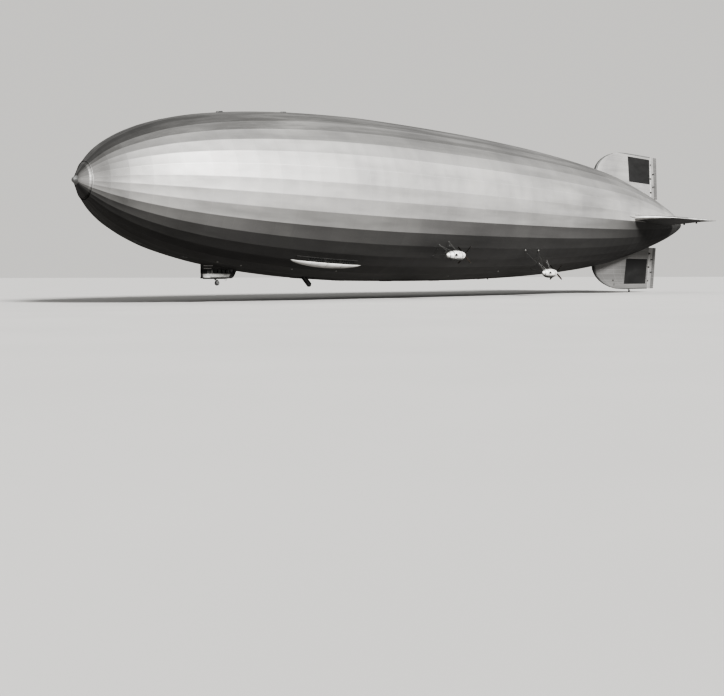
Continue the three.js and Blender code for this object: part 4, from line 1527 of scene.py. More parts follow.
    def lower_fittings(self, dark, glass):
        """The lookout window and the vent plate near the lower fin's leading edge, the same on both faces."""
        for name, station, height, long, tall, inner, slot in (
            ("lower_fin_window", 197.6, -20.7, 0.9, 0.62, glass, "window_glass"),
            ("lower_fin_vent", 198.6, -22.0, 0.42, 0.95, dark, "painted_sheet"),
        ):
            x, z = station_x(station), height * SCALE
            half = fin_thickness(-height) * SCALE / 2 * 0.9 + 0.004
            reach, rise = long * SCALE / 2, tall * SCALE / 2
            piece = box(name, (x - reach, -half, z - rise), (x + reach, half, z + rise), bevel=0.002)
            coat(piece, dark, inner)
            with shaping(piece):
                pick(piece, lambda face: abs(face.normal.y) > 0.9)
                inset(0.004, each=True)
                inset(0.001, depth=-0.002, each=True)
                assign(piece, 1)
            finish(piece, "ship", slot, smooth=35)

    def hinges(self, place, turn, metal):
        parts = []
        for height in HINGES:
            x, z = station_x(FIN["hinge"]), height * SCALE
            round_part = hinge_radius(height) * SCALE
            half = min(ARM["thick"], round_part * 0.8) / 2
            back, front = x - ARM["back"], x + round_part + ARM["front"]
            corners = (back, -half, z - ARM["half"]), (front, half, z + ARM["half"])
            parts.append(box("arm", *corners, bevel=0.002))
            ends = (x, 0, z - ARM["pin"]), (x, 0, z + ARM["pin"])
            parts.append(bar("pin", *ends, ARM["pin_radius"], sides=20))
        row = placed(join(place + "_fin_hinges", parts), about_x(turn))
        finish(row, "ship", "bare_metal", metal, smooth=35)


SURFACE = {
    "foot": 8.9, "tip": 23.8, "trail_foot": 227.2, "trail_tip": 225.8, "edge": 0.07, "spar": 0.45,
    "tape": 0.0035,
}
SURFACE_NOSE = ((1.0, 0.14), (0.87, 0.5), (0.5, 0.87), (0.0, 1.0))  # ahead of the hinge, and half thickness
SURFACE_CHORD = (0.2, 0.45, 0.72)
SURFACES = {
    "upper": "upper_rudder", "port": "port_elevator",
    "lower": "lower_rudder", "starboard": "starboard_elevator",
}
SURFACE_RIBS = (9.6, 12.4, 13.8, 15.0, 17.2, 18.6, 19.8, 22.3, 23.2)
HORNS = (13.2, 17.8)


class AIRSHIP_OT_surfaces(bpy.types.Operator):
    """Cover the rudders and elevators, with their rib tapes, darker cloth aft of the spar, and horns"""

    bl_idname = "airship.surfaces"
    bl_label = "Rudders and elevators"

    def execute(self, context):
        sizes = context.scene.airship_hull
        cloth, tape, tab = (
            doped_fabric(name, shade(sizes.fabric, tone), with_painted_shade=False)
            for name, tone in (("surface_fabric", 0.95), ("surface_tape", 0.8), ("tab_fabric", 0.5))
        )
        dark = dark_paint("horn_paint", (0.04, 0.04, 0.04))
        blade = self.slab()
        coat(blade, cloth, tape, tab)
        self.lay_tapes(blade)
        self.notch(blade)
        horns = self.horns()
        # The darker underside cloth and tapes: painted shade.
        under = bpy.data.materials["fin_underside"]
        under_tape = bpy.data.materials["fin_underside_tape"]
        for place, node in SURFACES.items():
            turn = about_x(QUARTERS[place])
            cover = copied(blade, node + "_cover")
            if place in SIDES:
                coat(cover, cloth, tape, tab, under, under_tape)
                self.paint_underside(cover, SIDES[place])
            cover.data.transform(turn)
            finish(cover, node, "doped_fabric", smooth=30, replaces=(node,))
            finish(copied(horns, node + "_horns", turn), node, "dark_metal", dark, smooth=35)
        drop(blade, horns)
        return {"FINISHED"}

    def slab(self):
        """A slab cut into strips, then resized line by line: round before the hinge, tapering behind it."""
        unit = 0.1
        hinge = station_x(FIN["hinge"])
        heights = (SURFACE["foot"], *SURFACE_RIBS, SURFACE["tip"])
        foot, tip = heights[0] * SCALE, heights[-1] * SCALE
        slab = box("blade", (hinge - unit, -unit, foot), (hinge + unit, unit, tip))
        columns = [(hinge + ahead * unit, thick, None) for ahead, thick in SURFACE_NOSE]
        columns += [(hinge - share * unit, None, share) for share in (*SURFACE_CHORD, 1.0)]
        with shaping(slab):
            for x, *_ in columns[1:-1]:
                slice_at((x, 0, 0), "X")
            for height in heights[1:-1]:
                slice_at((0, 0, height * SCALE), "Z")
            for height in heights:
                z = height * SCALE
                round_part = hinge_radius(height) * SCALE
                for x, thick, share in columns:
                    if share is None:
                        half = thick * round_part
                    else:
                        half = round_part + (SURFACE["edge"] * SCALE - round_part) * share
                    pick(slab, lambda v: same(v.co.x, x) and same(v.co.z, z), "VERT")
                    resize(1, half / unit, 1, (x, 0, z))
                for sign, reach in ((1, round_part), (-1, hinge - self.trail(height))):
                    pick(slab, lambda v: (v.co.x - hinge) * sign > 1e-5 and same(v.co.z, z), "VERT")
                    resize(reach / unit, 1, 1, (hinge, 0, z))
        return slab

    def trail(self, height):
        """Where the trailing edge lies at a height."""
        up = (height - SURFACE["foot"]) / (SURFACE["tip"] - SURFACE["foot"])
        return station_x(SURFACE["trail_foot"] + (SURFACE["trail_tip"] - SURFACE["trail_foot"]) * up)

    def lay_tapes(self, blade):
        hinge = station_x(FIN["hinge"])

        def on_line(edge):
            a, b = (vertex.co for vertex in edge.verts)
            if max(a.x, b.x) > hinge + 1e-5 or abs((a - b).normalized().y) > 0.7:
                return False
            if same(a.z, b.z, 1e-5):
                return SURFACE["foot"] < a.z / SCALE - 1e-3 and a.z / SCALE + 1e-3 < SURFACE["tip"]
            return min(a.x, b.x) < hinge - 1e-3 and not self.at_trail(edge)

        with shaping(blade):
            pick(blade, on_line, "EDGE")
            chamfer(SURFACE["tape"], material=1)
            # Cloth aft of the spar is darker.
            tab = SURFACE["spar"]
            pick(blade, lambda face: face.material_index == 0 and self.share_aft(middle(face)) > tab)
            assign(blade, 2)

    def share_aft(self, point):
        """How far a point lies behind the hinge, as a share of the way to the trailing edge."""
        hinge = station_x(FIN["hinge"])
        return (hinge - point.x) / (hinge - self.trail(point.z / SCALE))

    def at_trail(self, edge):
        return all(self.share_aft(vertex.co) > 0.99 for vertex in edge.verts)

    def paint_underside(self, blade, side):
        """Darker cloth and tapes on an elevator's underside: painted shade."""
        with shaping(blade):
            for was, material in ((0, 3), (2, 3), (1, 4)):
                pick(blade, lambda face: face.normal.y * side > 0.2 and face.material_index == was)
                assign(blade, material)

    def notch(self, blade):
        """Room for the hinge arms and their pins."""
        hinge = station_x(FIN["hinge"])
        for height in HINGES:
            z = height * SCALE
            slot = box("slot", (hinge - 0.034, -0.2, z - 0.03), (hinge + 0.2, 0.2, z + 0.03))
            pin = bar("pin", (hinge, 0, z - 0.056), (hinge, 0, z + 0.056), radius=0.008, sides=20)
            cut(blade, slot, pin)

    def horns(self):
        """Brackets on both faces, where the control rods take hold."""
        parts = []
        for height in HORNS:
            x, z = station_x(222.9), height * SCALE
            reach = hinge_radius(height) * SCALE + 0.03
            low, high = (x - 0.05, -reach, z - 0.012), (x + 0.03, reach, z + 0.012)
            parts.append(box("horn", low, high, bevel=0.004))
            for y in (reach - 0.008, 0.008 - reach):
                parts.append(bar("pin", (x - 0.01, y, z - 0.03), (x - 0.01, y, z + 0.03), radius=0.004))
        return join("horns", parts)


# Engine cars
CAR_SECTIONS = (
    # x, half width, half height, rise of the middle, in real metres
    (3.4, 0.2, 0.22, -0.12), (2.9, 0.52, 0.56, -0.14), (2.2, 0.87, 0.91, -0.2), (1.3, 1.15, 1.19, -0.28),
    (0.2, 1.29, 1.31, -0.3), (-1.0, 1.28, 1.3, -0.29), (-2.0, 1.11, 1.14, -0.24), (-2.7, 0.87, 0.89, -0.16),
    (-3.0, 0.7, 0.72, -0.1),
)
CARS = {
    # station, distance to port, height
    "fwd_port": (92, 20.35, -13.85), "fwd_starboard": (92, -20.35, -13.85),
    "aft_port": (141, 14.0, -18.15), "aft_starboard": (141, -14.0, -18.15),
}
LONG_STAYS = ((14.3, -15), (7.8, -15))  # of the aft cars: metres ahead, degrees round
CAR_BANDS = (2.6, 1.5, -1.3)
CAR_SEAMS = (2.3, 0.25, -0.45, -2.0, -2.65)
MOUTH = {"front": 3.4, "back": 2.0, "grille": 3.0, "z": -0.11, "radius": 0.15}
PORTHOLE = {"x": 0.95, "z": -0.16, "radius": 0.4, "deep": 0.24}
LOUVRES = ((-1.75, -0.25, 8), (0.85, -0.88, 8), (-0.9, -0.75, 6))  # x and z of the first slat, and how many
LOUVRE_STEP = 0.11
# Height on an engine car below which it is painted dark as the shade under it.
SHADE_BELOW = -0.085
LID = {"back": -0.035, "front": 0.03, "half": 0.03, "sunk": 0.092, "top": 0.105, "rim": 0.006}
STEP_BAR = {"back": -0.16, "front": 0.06, "out": 0.1, "low": -0.122, "high": -0.118}
FOOT_PLATE = {"half": 0.022, "sunk": 0.012, "proud": 0.0025, "bolt_ring": 0.016}
LADDER = {"half": 0.016, "rail": 0.0028, "rung": 0.002, "step": 0.03}
STUB_BENDS = ((0, -0.01, 0), (0, 0.003, 0.001), (-0.004, 0.009, 0.002), (-0.02, 0.012, 0.003))
SHAFT = 0.009
FERRULE = 0.04
EXHAUSTS = (0.01, -0.02, -0.05, -0.08)  # how far ahead of the middle each stub stands
EXHAUST_HEIGHT = 0.04


def car_side(x, z):
    """How far out an engine car's flank lies at x and z, in real metres."""
    wide, high, rise = car_row(x)
    return wide * math.sqrt(max(1 - ((z - rise) / high) ** 2, 0))


def car_row(x):
    """Half width, half height and rise of an engine car at x, in real metres."""
    rows = eased(CAR_SECTIONS, count=60)
    i = min(range(len(rows) - 1), key=lambda k: abs((rows[k][0] + rows[k + 1][0]) / 2 - x))
    (x0, *a), (x1, *b) = rows[i], rows[i + 1]
    share = (x - x0) / (x1 - x0)
    return tuple(p + (q - p) * share for p, q in zip(a, b))


class AIRSHIP_OT_engine_cars(bpy.types.Operator):
    """Build the engine cars with their louvres, portholes, exhausts and struts"""

    bl_idname = "airship.engine_cars"
    bl_label = "Engine cars"

    def execute(self, context):
        white = tuple(context.scene.airship_cars.paint)
        # The car paint darkens each car's underside as painted shade.
        paint = painted_sheet("car_paint", white, roughness=0.4, metallic=0.1, dark_where=shaded_foot)
        bare_paint = painted_sheet("louvre_paint", shade(white, 0.85), roughness=0.4, metallic=0.1)
        seam = dark_paint("car_seam", (0.28, 0.28, 0.27))
        metal = bare_metal("strut_metal", (0.36, 0.355, 0.345), roughness=0.5)
        sooty = bare_metal("exhaust_metal", (0.22, 0.19, 0.17), roughness=0.55)
        dark = bare_metal("radiator_metal", (0.09, 0.09, 0.09), roughness=0.5)
        glass = window_glass("porthole_glass")
        shell = self.shell(paint, seam)
        fittings = {
            "louvres": (self.louvres(), "painted_sheet", bare_paint),
            "trim": (self.trim(), "bare_metal", metal),
            "exhausts": (self.exhausts(), "dark_metal", sooty),
            "panes": (self.panes(), "window_glass", glass),
            "grille": (self.grille(), "dark_metal", dark),
        }
        for name, (station, out, up) in CARS.items():
            place = Matrix.Translation(at_ship(station, out, up))
            if out < 0:
                place = place @ MIRROR
            made = copied(shell, "engine_shell_" + name, place)
            finish(made, "ship", "painted_sheet", replaces=("engine_car_" + name,))
            for part, (made, slot, material) in fittings.items():
                finish(copied(made, f"engine_{part}_{name}", place), "ship", slot, material, smooth=35)
            self.struts(name, station, out, up, metal, context.scene.airship_cars.stay)
            coat(frame["nodes"]["engine_" + name], sooty)
            coat(frame["nodes"]["radiator_" + name], dark)
        drop(shell, *(row[0] for row in fittings.values()))
        return {"FINISHED"}

    def shell(self, paint, seam):
        """A streamlined body with pressed seams, open at the mouth and hollow at the portholes."""
        rows = eased(CAR_SECTIONS, count=30)
        rings = [(x * SCALE, w * SCALE, h * SCALE, 0, z * SCALE) for x, w, h, z in rows]
        shell = ringed("shell", rings, sides=40)
        coat(shell, paint, seam)
        with shaping(shell):
            for x in CAR_SEAMS:
                slice_at((x * SCALE, 0, 0), "X")
            pick(shell, self.on_seam, "EDGE")
            chamfer(0.0011, segments=2, material=1)
            pick(shell, lambda vertex: self.at_seam(vertex.co.x), "VERT")
            bpy.ops.transform.shrink_fatten(value=-0.0012)
            pick(shell, lambda face: face.normal.x < -0.95 and middle(face).x < -0.29)
            inset(0.012)
            pull(-0.004, 0, 0)
            resize(1, 0.7, 0.7, (-0.304, 0, 0))
        only(shell)
        bpy.ops.object.shade_smooth_by_angle(angle=math.radians(40))
        z, back, front = MOUTH["z"] * SCALE, MOUTH["back"] * SCALE, MOUTH["front"] * SCALE + 0.04
        tools = [bar("mouth", (back, 0, z), (front, 0, z), MOUTH["radius"] * SCALE, sides=40)]
        x, z, radius, deep = (PORTHOLE[key] * SCALE for key in ("x", "z", "radius", "deep"))
        y = car_side(PORTHOLE["x"], PORTHOLE["z"]) * SCALE
        for side in (1, -1):
            tools.append(bar("window", (x, side * (y - deep), z), (x, side * 0.16, z), radius, sides=32))
        cut(shell, *tools)
        shaft = bar("shaft", (-0.29, 0, 0), (-0.315, 0, 0), SHAFT, sides=24)
        body = join("shell", [shaft, shell])
        keep_heights(body)
        return body

    def on_seam(self, edge):
        """The hoop seams, and four seams that run the car's length."""
        a, b = (vertex.co for vertex in edge.verts)
        if same(a.x, b.x, 1e-5):
            return self.at_seam(a.x)
        return all(self.off_line(p) < 0.02 for p in (a, b)) and -0.27 < middle(edge).x < 0.27

    def off_line(self, point):
        """How far a point is from the nearest of the seams that run lengthwise, in sides of the car."""
        wide, high, rise = car_row(max(min(point.x / SCALE, 2.99), -2.99))
        turn = math.atan2(point.y / wide, (point.z - rise * SCALE) / high) / (2 * math.pi) * 40
        return min(abs(abs(turn) - line) for line in (4, 16))

    def at_seam(self, here):
        return any(same(here, x * SCALE, 1e-5) for x in CAR_SEAMS)

    def louvres(self):
        """Three banks of cooling slats on each flank, copied from one."""
        slat = box("slat", (-0.0035, -0.002, -0.02), (0.0035, 0.0035, 0.02), bevel=0.0012)
        slats = []
        for side in (Matrix.Identity(4), MIRROR):
            for x0, z0, count in LOUVRES:
                for k in range(count):
                    x = x0 + LOUVRE_STEP * k
                    wide, high, rise = car_row(x)
                    y = car_side(x, z0)
                    lean = math.degrees(math.atan2(z0 - rise, y)) * (wide / high) ** 2
                    place = Matrix.Translation((x * SCALE, y * SCALE, z0 * SCALE)) @ about_x(lean)
                    slats.append(copied(slat, "slat", side @ place @ about("Z", 18)))
        drop(slat)
        return join("louvres", slats)

    def trim(self):
        """Rims round the mouth and portholes, the hatch on top with its grip, steps and a bearing ring."""
        front = (MOUTH["front"] * SCALE - 0.0025, 0, MOUTH["z"] * SCALE - 0.001)
        parts = [hoop("rim", front, MOUTH["radius"] * SCALE + 0.001, thick=0.0026, turn=(0, math.pi / 2, 0))]
        for side in (1, -1):
            parts.append(tube("rim", self.round_porthole(side), radius=0.0032, closed=True))
            y = side * STEP_BAR["out"]
            ends = (STEP_BAR["back"], y, STEP_BAR["high"]), (STEP_BAR["front"], y, STEP_BAR["low"])
            parts.append(bar("step", *ends, 0.0035))
            for k in (-0.14, 0.04):
                parts.append(bar("stay", (k, y, -0.12), (k, side * 0.088, -0.106), radius=0.0025))
        low = (LID["back"], -LID["half"], LID["sunk"])
        lid = box("lid", low, (LID["front"], LID["half"], LID["top"]), bevel=0.003)
        with shaping(lid):
            pick(lid, lambda face: face.normal.z > 0.9)
            inset(LID["rim"])
            inset(STEP_IN, -STEP_IN)
        bends = ((0.012, 0.102), (0.012, 0.11), (-0.012, 0.11), (-0.012, 0.102))
        grip = tube("grip", [(-0.02, y, z) for y, z in bends], radius=0.0018)
        bearing = hoop("bearing", (-0.303, 0, 0), radius=0.017, thick=0.004, turn=(0, math.pi / 2, 0))
        return join("trim", parts + [lid, grip, bearing])

    def round_porthole(self, side):
        """A ring of points on the flank, round the porthole."""
        points = []
        for k in range(32):
            x = PORTHOLE["x"] + PORTHOLE["radius"] * math.cos(math.tau * k / 32)
            z = PORTHOLE["z"] + PORTHOLE["radius"] * math.sin(math.tau * k / 32)
            points.append(Vector((x, side * (car_side(x, z) + 0.01), z)) * SCALE)
        return points

    def panes(self):
        x, z, radius, deep = (PORTHOLE[key] * SCALE for key in ("x", "z", "radius", "deep"))
        y = car_side(PORTHOLE["x"], PORTHOLE["z"]) * SCALE - deep
        discs = []
        for side in (1, -1):
            inner, outer = (x, side * (y - 0.002), z), (x, side * (y + 0.004), z)
            disc = bar("pane", inner, outer, radius - 0.0005, sides=32)
            with shaping(disc):
                pick(disc, lambda face: abs(face.normal.y) > 0.9)
                inset(0.003)
                inset(0.001, depth=-0.0008)
            discs.append(disc)
        return join("panes", discs)

    def exhausts(self):
        """Four short stubs on each flank, bent aft."""
        stubs = []
        for side in (1, -1):
            for x in EXHAUSTS:
                z = EXHAUST_HEIGHT
                y = car_side(x / SCALE, z / SCALE) * SCALE
                line = [(x + back, side * (y + away), z + lift) for back, away, lift in STUB_BENDS]
                stubs.append(tube("stub", line, radius=0.004))
        return join("exhausts", stubs)

    def grille(self):
        """Fine upright bars before the radiator's slats."""
        bars = []
        x, z, radius = (MOUTH[key] * SCALE for key in ("grille", "z", "radius"))
        for k in range(-4, 5):
            y = k * radius / 5
            reach = math.sqrt(radius**2 - y**2) - 0.001
            bars.append(bar("upright", (x, y, z - reach), (x, y, z + reach), radius=0.0009, sides=8))
        return join("grille", bars)

    def struts(self, name, station, out, up, metal, thick):
        """Bands round the car, stays to the hull with ferrules and foot plates, a brace, and the ladder."""
        side = 1 if out > 0 else -1
        centre = at_ship(station, out, up)
        parts = []
        for x in CAR_BANDS:
            rows = [(x + 0.08, car_row(x + 0.08)), (x - 0.08, car_row(x - 0.08))]
            rings = [
                (at * SCALE, wide * SCALE + 0.004, high * SCALE + 0.004, 0, rise * SCALE)
                for at, (wide, high, rise) in rows
            ]
            band = strap("band", rings, sides=40, turn=0, thick=0.006, bevel=0.001)
            band.data.transform(Matrix.Translation(centre))
            parts.append(band)
        angle = math.degrees(math.atan2(abs(out), up))

        def foot(x, round_hull):
            return on_hull(station - x, side * (angle + round_hull))

        def at_car(x, y, z):
            return centre + Vector((x, side * y, z)) * SCALE

        def on_band(x, y):
            wide, high, rise = car_row(x)
            return at_car(x, y * wide, rise + high * math.sqrt(1 - y * y))

        high_foot, low_foot = (2.6, -0.6), (2.6, 8.8)
        front, second, rear = CAR_BANDS
        stays = [
            (on_band(front, 0.1), *high_foot), (on_band(second, 0.1), *high_foot),
            (on_band(front, -0.9), *low_foot), (on_band(rear, 0.1), rear, -0.5),
            (on_band(rear, -0.9), rear, 5.5),
        ]
        if name.startswith("aft"):
            stays += [(on_band(front, 0.1), *away) for away in LONG_STAYS]
        turns = (high_foot[1], 1.5, 4, 6.5, low_foot[1])
        brace = [on_hull(station - high_foot[0], side * (angle + turn), 0.006) for turn in turns]
        parts.append(tube("brace", brace, 0.7 * thick))
        plates = {}
        for start, x, round_hull in stays:
            end = foot(x, round_hull)
            slim = thick if (end - start).length < 0.8 else 0.6 * thick
            plates[(x, round_hull)] = seat(station - x, side * (angle + round_hull))
            parts.append(bar("stay", start, end, slim, sides=16))
            along = (end - start).normalized()
            for point, way in ((start, along), (end, -along)):
                tip = point + way * FERRULE
                parts.append(bar("ferrule", point, tip, 1.5 * thick, sides=16, tip=1.1 * thick))
        half, proud = FOOT_PLATE["half"], FOOT_PLATE["proud"]
        for place in plates.values():
            plate = box("plate", (-half, -half, -FOOT_PLATE["sunk"]), (half, half, proud), bevel=0.001)
            parts.append(placed(plate, place))
            on_plate = place @ Matrix.Translation((0, 0, proud))
            ring = FOOT_PLATE["bolt_ring"]
            parts.append(bolts("bolts", count=6, ring=ring, radius=0.0025, height=0.002, place=on_plate))
        parts += self.ladder(at_car(-0.15, 0.1, 1.0), foot(-0.15, -4.2))
        made = join("engine_stays_" + name, parts)
        finish(made, "ship", "bare_metal", metal, smooth=35, replaces=("engine_struts_" + name,))

    def ladder(self, low, high):
        """Two rails and their rungs."""
        wide = Vector((LADDER["half"], 0, 0))
        rails = [bar("rail", low + wide * k, high + wide * k, LADDER["rail"], sides=10) for k in (1, -1)]
        count = round((high - low).length / LADDER["step"])
        rungs = []
        for k in range(1, count):
            point = low.lerp(high, k / count)
            rungs.append(bar("rung", point - wide, point + wide, LADDER["rung"], sides=8))
        return rails + rungs


# Propellers
BLADE_ROWS = (
    # distance out, chord, thickness in real metres, pitch in degrees
    (0.1, 0.3, 0.26, 60), (0.5, 0.3, 0.2, 55), (1.1, 0.46, 0.13, 42), (2.0, 0.44, 0.08, 28),
    (2.7, 0.37, 0.055, 22), (2.9, 0.3, 0.045, 20.5), (3.0, 0.2, 0.036, 20), (3.05, 0.07, 0.03, 19),
)
BOSS = (
    # x, radius
    (0.031, 0.012), (0.031, 0.021), (0.029, 0.024), (0.022, 0.0245), (-0.022, 0.0245), (-0.029, 0.024),
    (-0.031, 0.021), (-0.034, 0.021), (-0.034, 0.0175), (-0.042, 0.0165), (-0.05, 0.0125),
    (-0.056, 0.0075), (-0.06, 0.002),
)
HUB_BACK = 0.34
METAL_EDGE_FROM = 1.9
METAL_TIP_FROM = 2.9
QUARTER_TURNS = (45, 135, 225, 315)


class AIRSHIP_OT_propellers(bpy.types.Operator):
    """Carve the four-bladed wooden propellers, with metal edges and bolted hubs"""

    bl_idname = "airship.propellers"
    bl_label = "Propellers"

    def execute(self, context):
        wood = varnished_wood("propeller_wood", (0.034, 0.026, 0.021), "grain")
        edge = bare_metal("blade_edge", (0.2, 0.19, 0.175), roughness=0.42)
        steel = bare_metal("hub_metal", (0.5, 0.5, 0.5), roughness=0.36)
        blade = self.blade(wood, edge)
        blades = [copied(blade, "blade", about_x(turn)) for turn in QUARTER_TURNS]
        fan = join("fan", blades)
        boss = ringed("boss", round_rings(BOSS), sides=36)
        with shaping(boss):
            pick(boss, lambda face: face.normal.x > 0.95)
            inset(0.001)
            pull(-0.012, 0, 0)
        behind = Matrix.Translation((-0.0405, 0, 0)) @ about("Y", -90)
        ring = bolts("hub_bolts", count=8, ring=0.0145, radius=0.0022, height=0.003, place=behind)
        hub = join("hub", [ring, boss])
        for name, (station, out, up) in CARS.items():
            place = Matrix.Translation(at_ship(station, out, up) - Vector((HUB_BACK, 0, 0)))
            body = "propeller_" + name
            made = copied(fan, "propeller_blades_" + name, place)
            finish(made, body, "varnished_wood", smooth=50, replaces=(body,))
            finish(copied(hub, "propeller_hub_" + name, place), body, "bare_metal", steel, smooth=35)
        drop(blade, fan, hub)
        return {"FINISHED"}

    def blade(self, wood, edge):
        """A blade pulled out ring by ring, turned to its pitch, and stood up along Z."""
        rows = eased(BLADE_ROWS, count=22)
        rings = [(out * SCALE, chord * SCALE / 2, thick * SCALE / 2, 0, 0) for out, chord, thick, _ in rows]
        blade = ringed("blade", rings, sides=20)
        coat(blade, wood, edge)
        grain = blade.data.attributes.new("grain", "FLOAT_VECTOR", "POINT")
        for vertex, value in zip(blade.data.vertices, grain.data):
            value.vector = vertex.co

        def metal(face):
            point = middle(face)
            edge = point.y > 0.35 * self.half_chord(point.x) and point.x > METAL_EDGE_FROM * SCALE
            return edge or face.normal.x > 0.9 or point.x > METAL_TIP_FROM * SCALE

        with shaping(blade):
            pick(blade, metal)
            assign(blade, 1)
            for out, _, _, pitch in rows:
                pick(blade, lambda vertex: same(vertex.co.x, out * SCALE), "VERT")
                bpy.ops.transform.rotate(
                    value=math.radians(pitch), orient_axis="X", orient_type="GLOBAL",
                    center_override=(out * SCALE, 0, 0),
                )
        upright = Matrix(((0, 0, -1, 0), (0, 1, 0, 0), (1, 0, 0, 0), (0, 0, 0, 1)))
        blade.data.transform(upright)
        return blade

    def half_chord(self, x):
        rows = BLADE_ROWS
        out = min(max(x / SCALE, rows[0][0]), rows[-1][0] - 1e-6)
        i = max(k for k in range(len(rows) - 1) if rows[k][0] <= out)
        share = (out - rows[i][0]) / (rows[i + 1][0] - rows[i][0])
        return (rows[i][1] + (rows[i + 1][1] - rows[i][1]) * share) * SCALE / 2


# Control car
CONTROL = {"front": 29.7, "back": 37.2, "back_top": 40.0, "top": -16.4, "bottom": -19.7, "half": 1.3}
CONTROL_WINDOWS = {
    "low": -18.5, "high": -17.7, "stations": (31.3, 32.35, 33.4, 34.45, 35.5, 36.55), "long": 0.93,
}
CONTROL_FRONT = (-0.78, 0.0, 0.78)
CONTROL_ROUND = 1.5  # length of the round front
CONTROL_TAPER = 2.4  # length of the narrowing tail
RAIL_HEIGHT = -19.35
WINDOW_BEAD = 0.0024
MOORING_LOOP = 36.2
DRIP_RAILS = ((-16.85, 31.9), (-17.46, 31.5))  # height, and the station where it ends


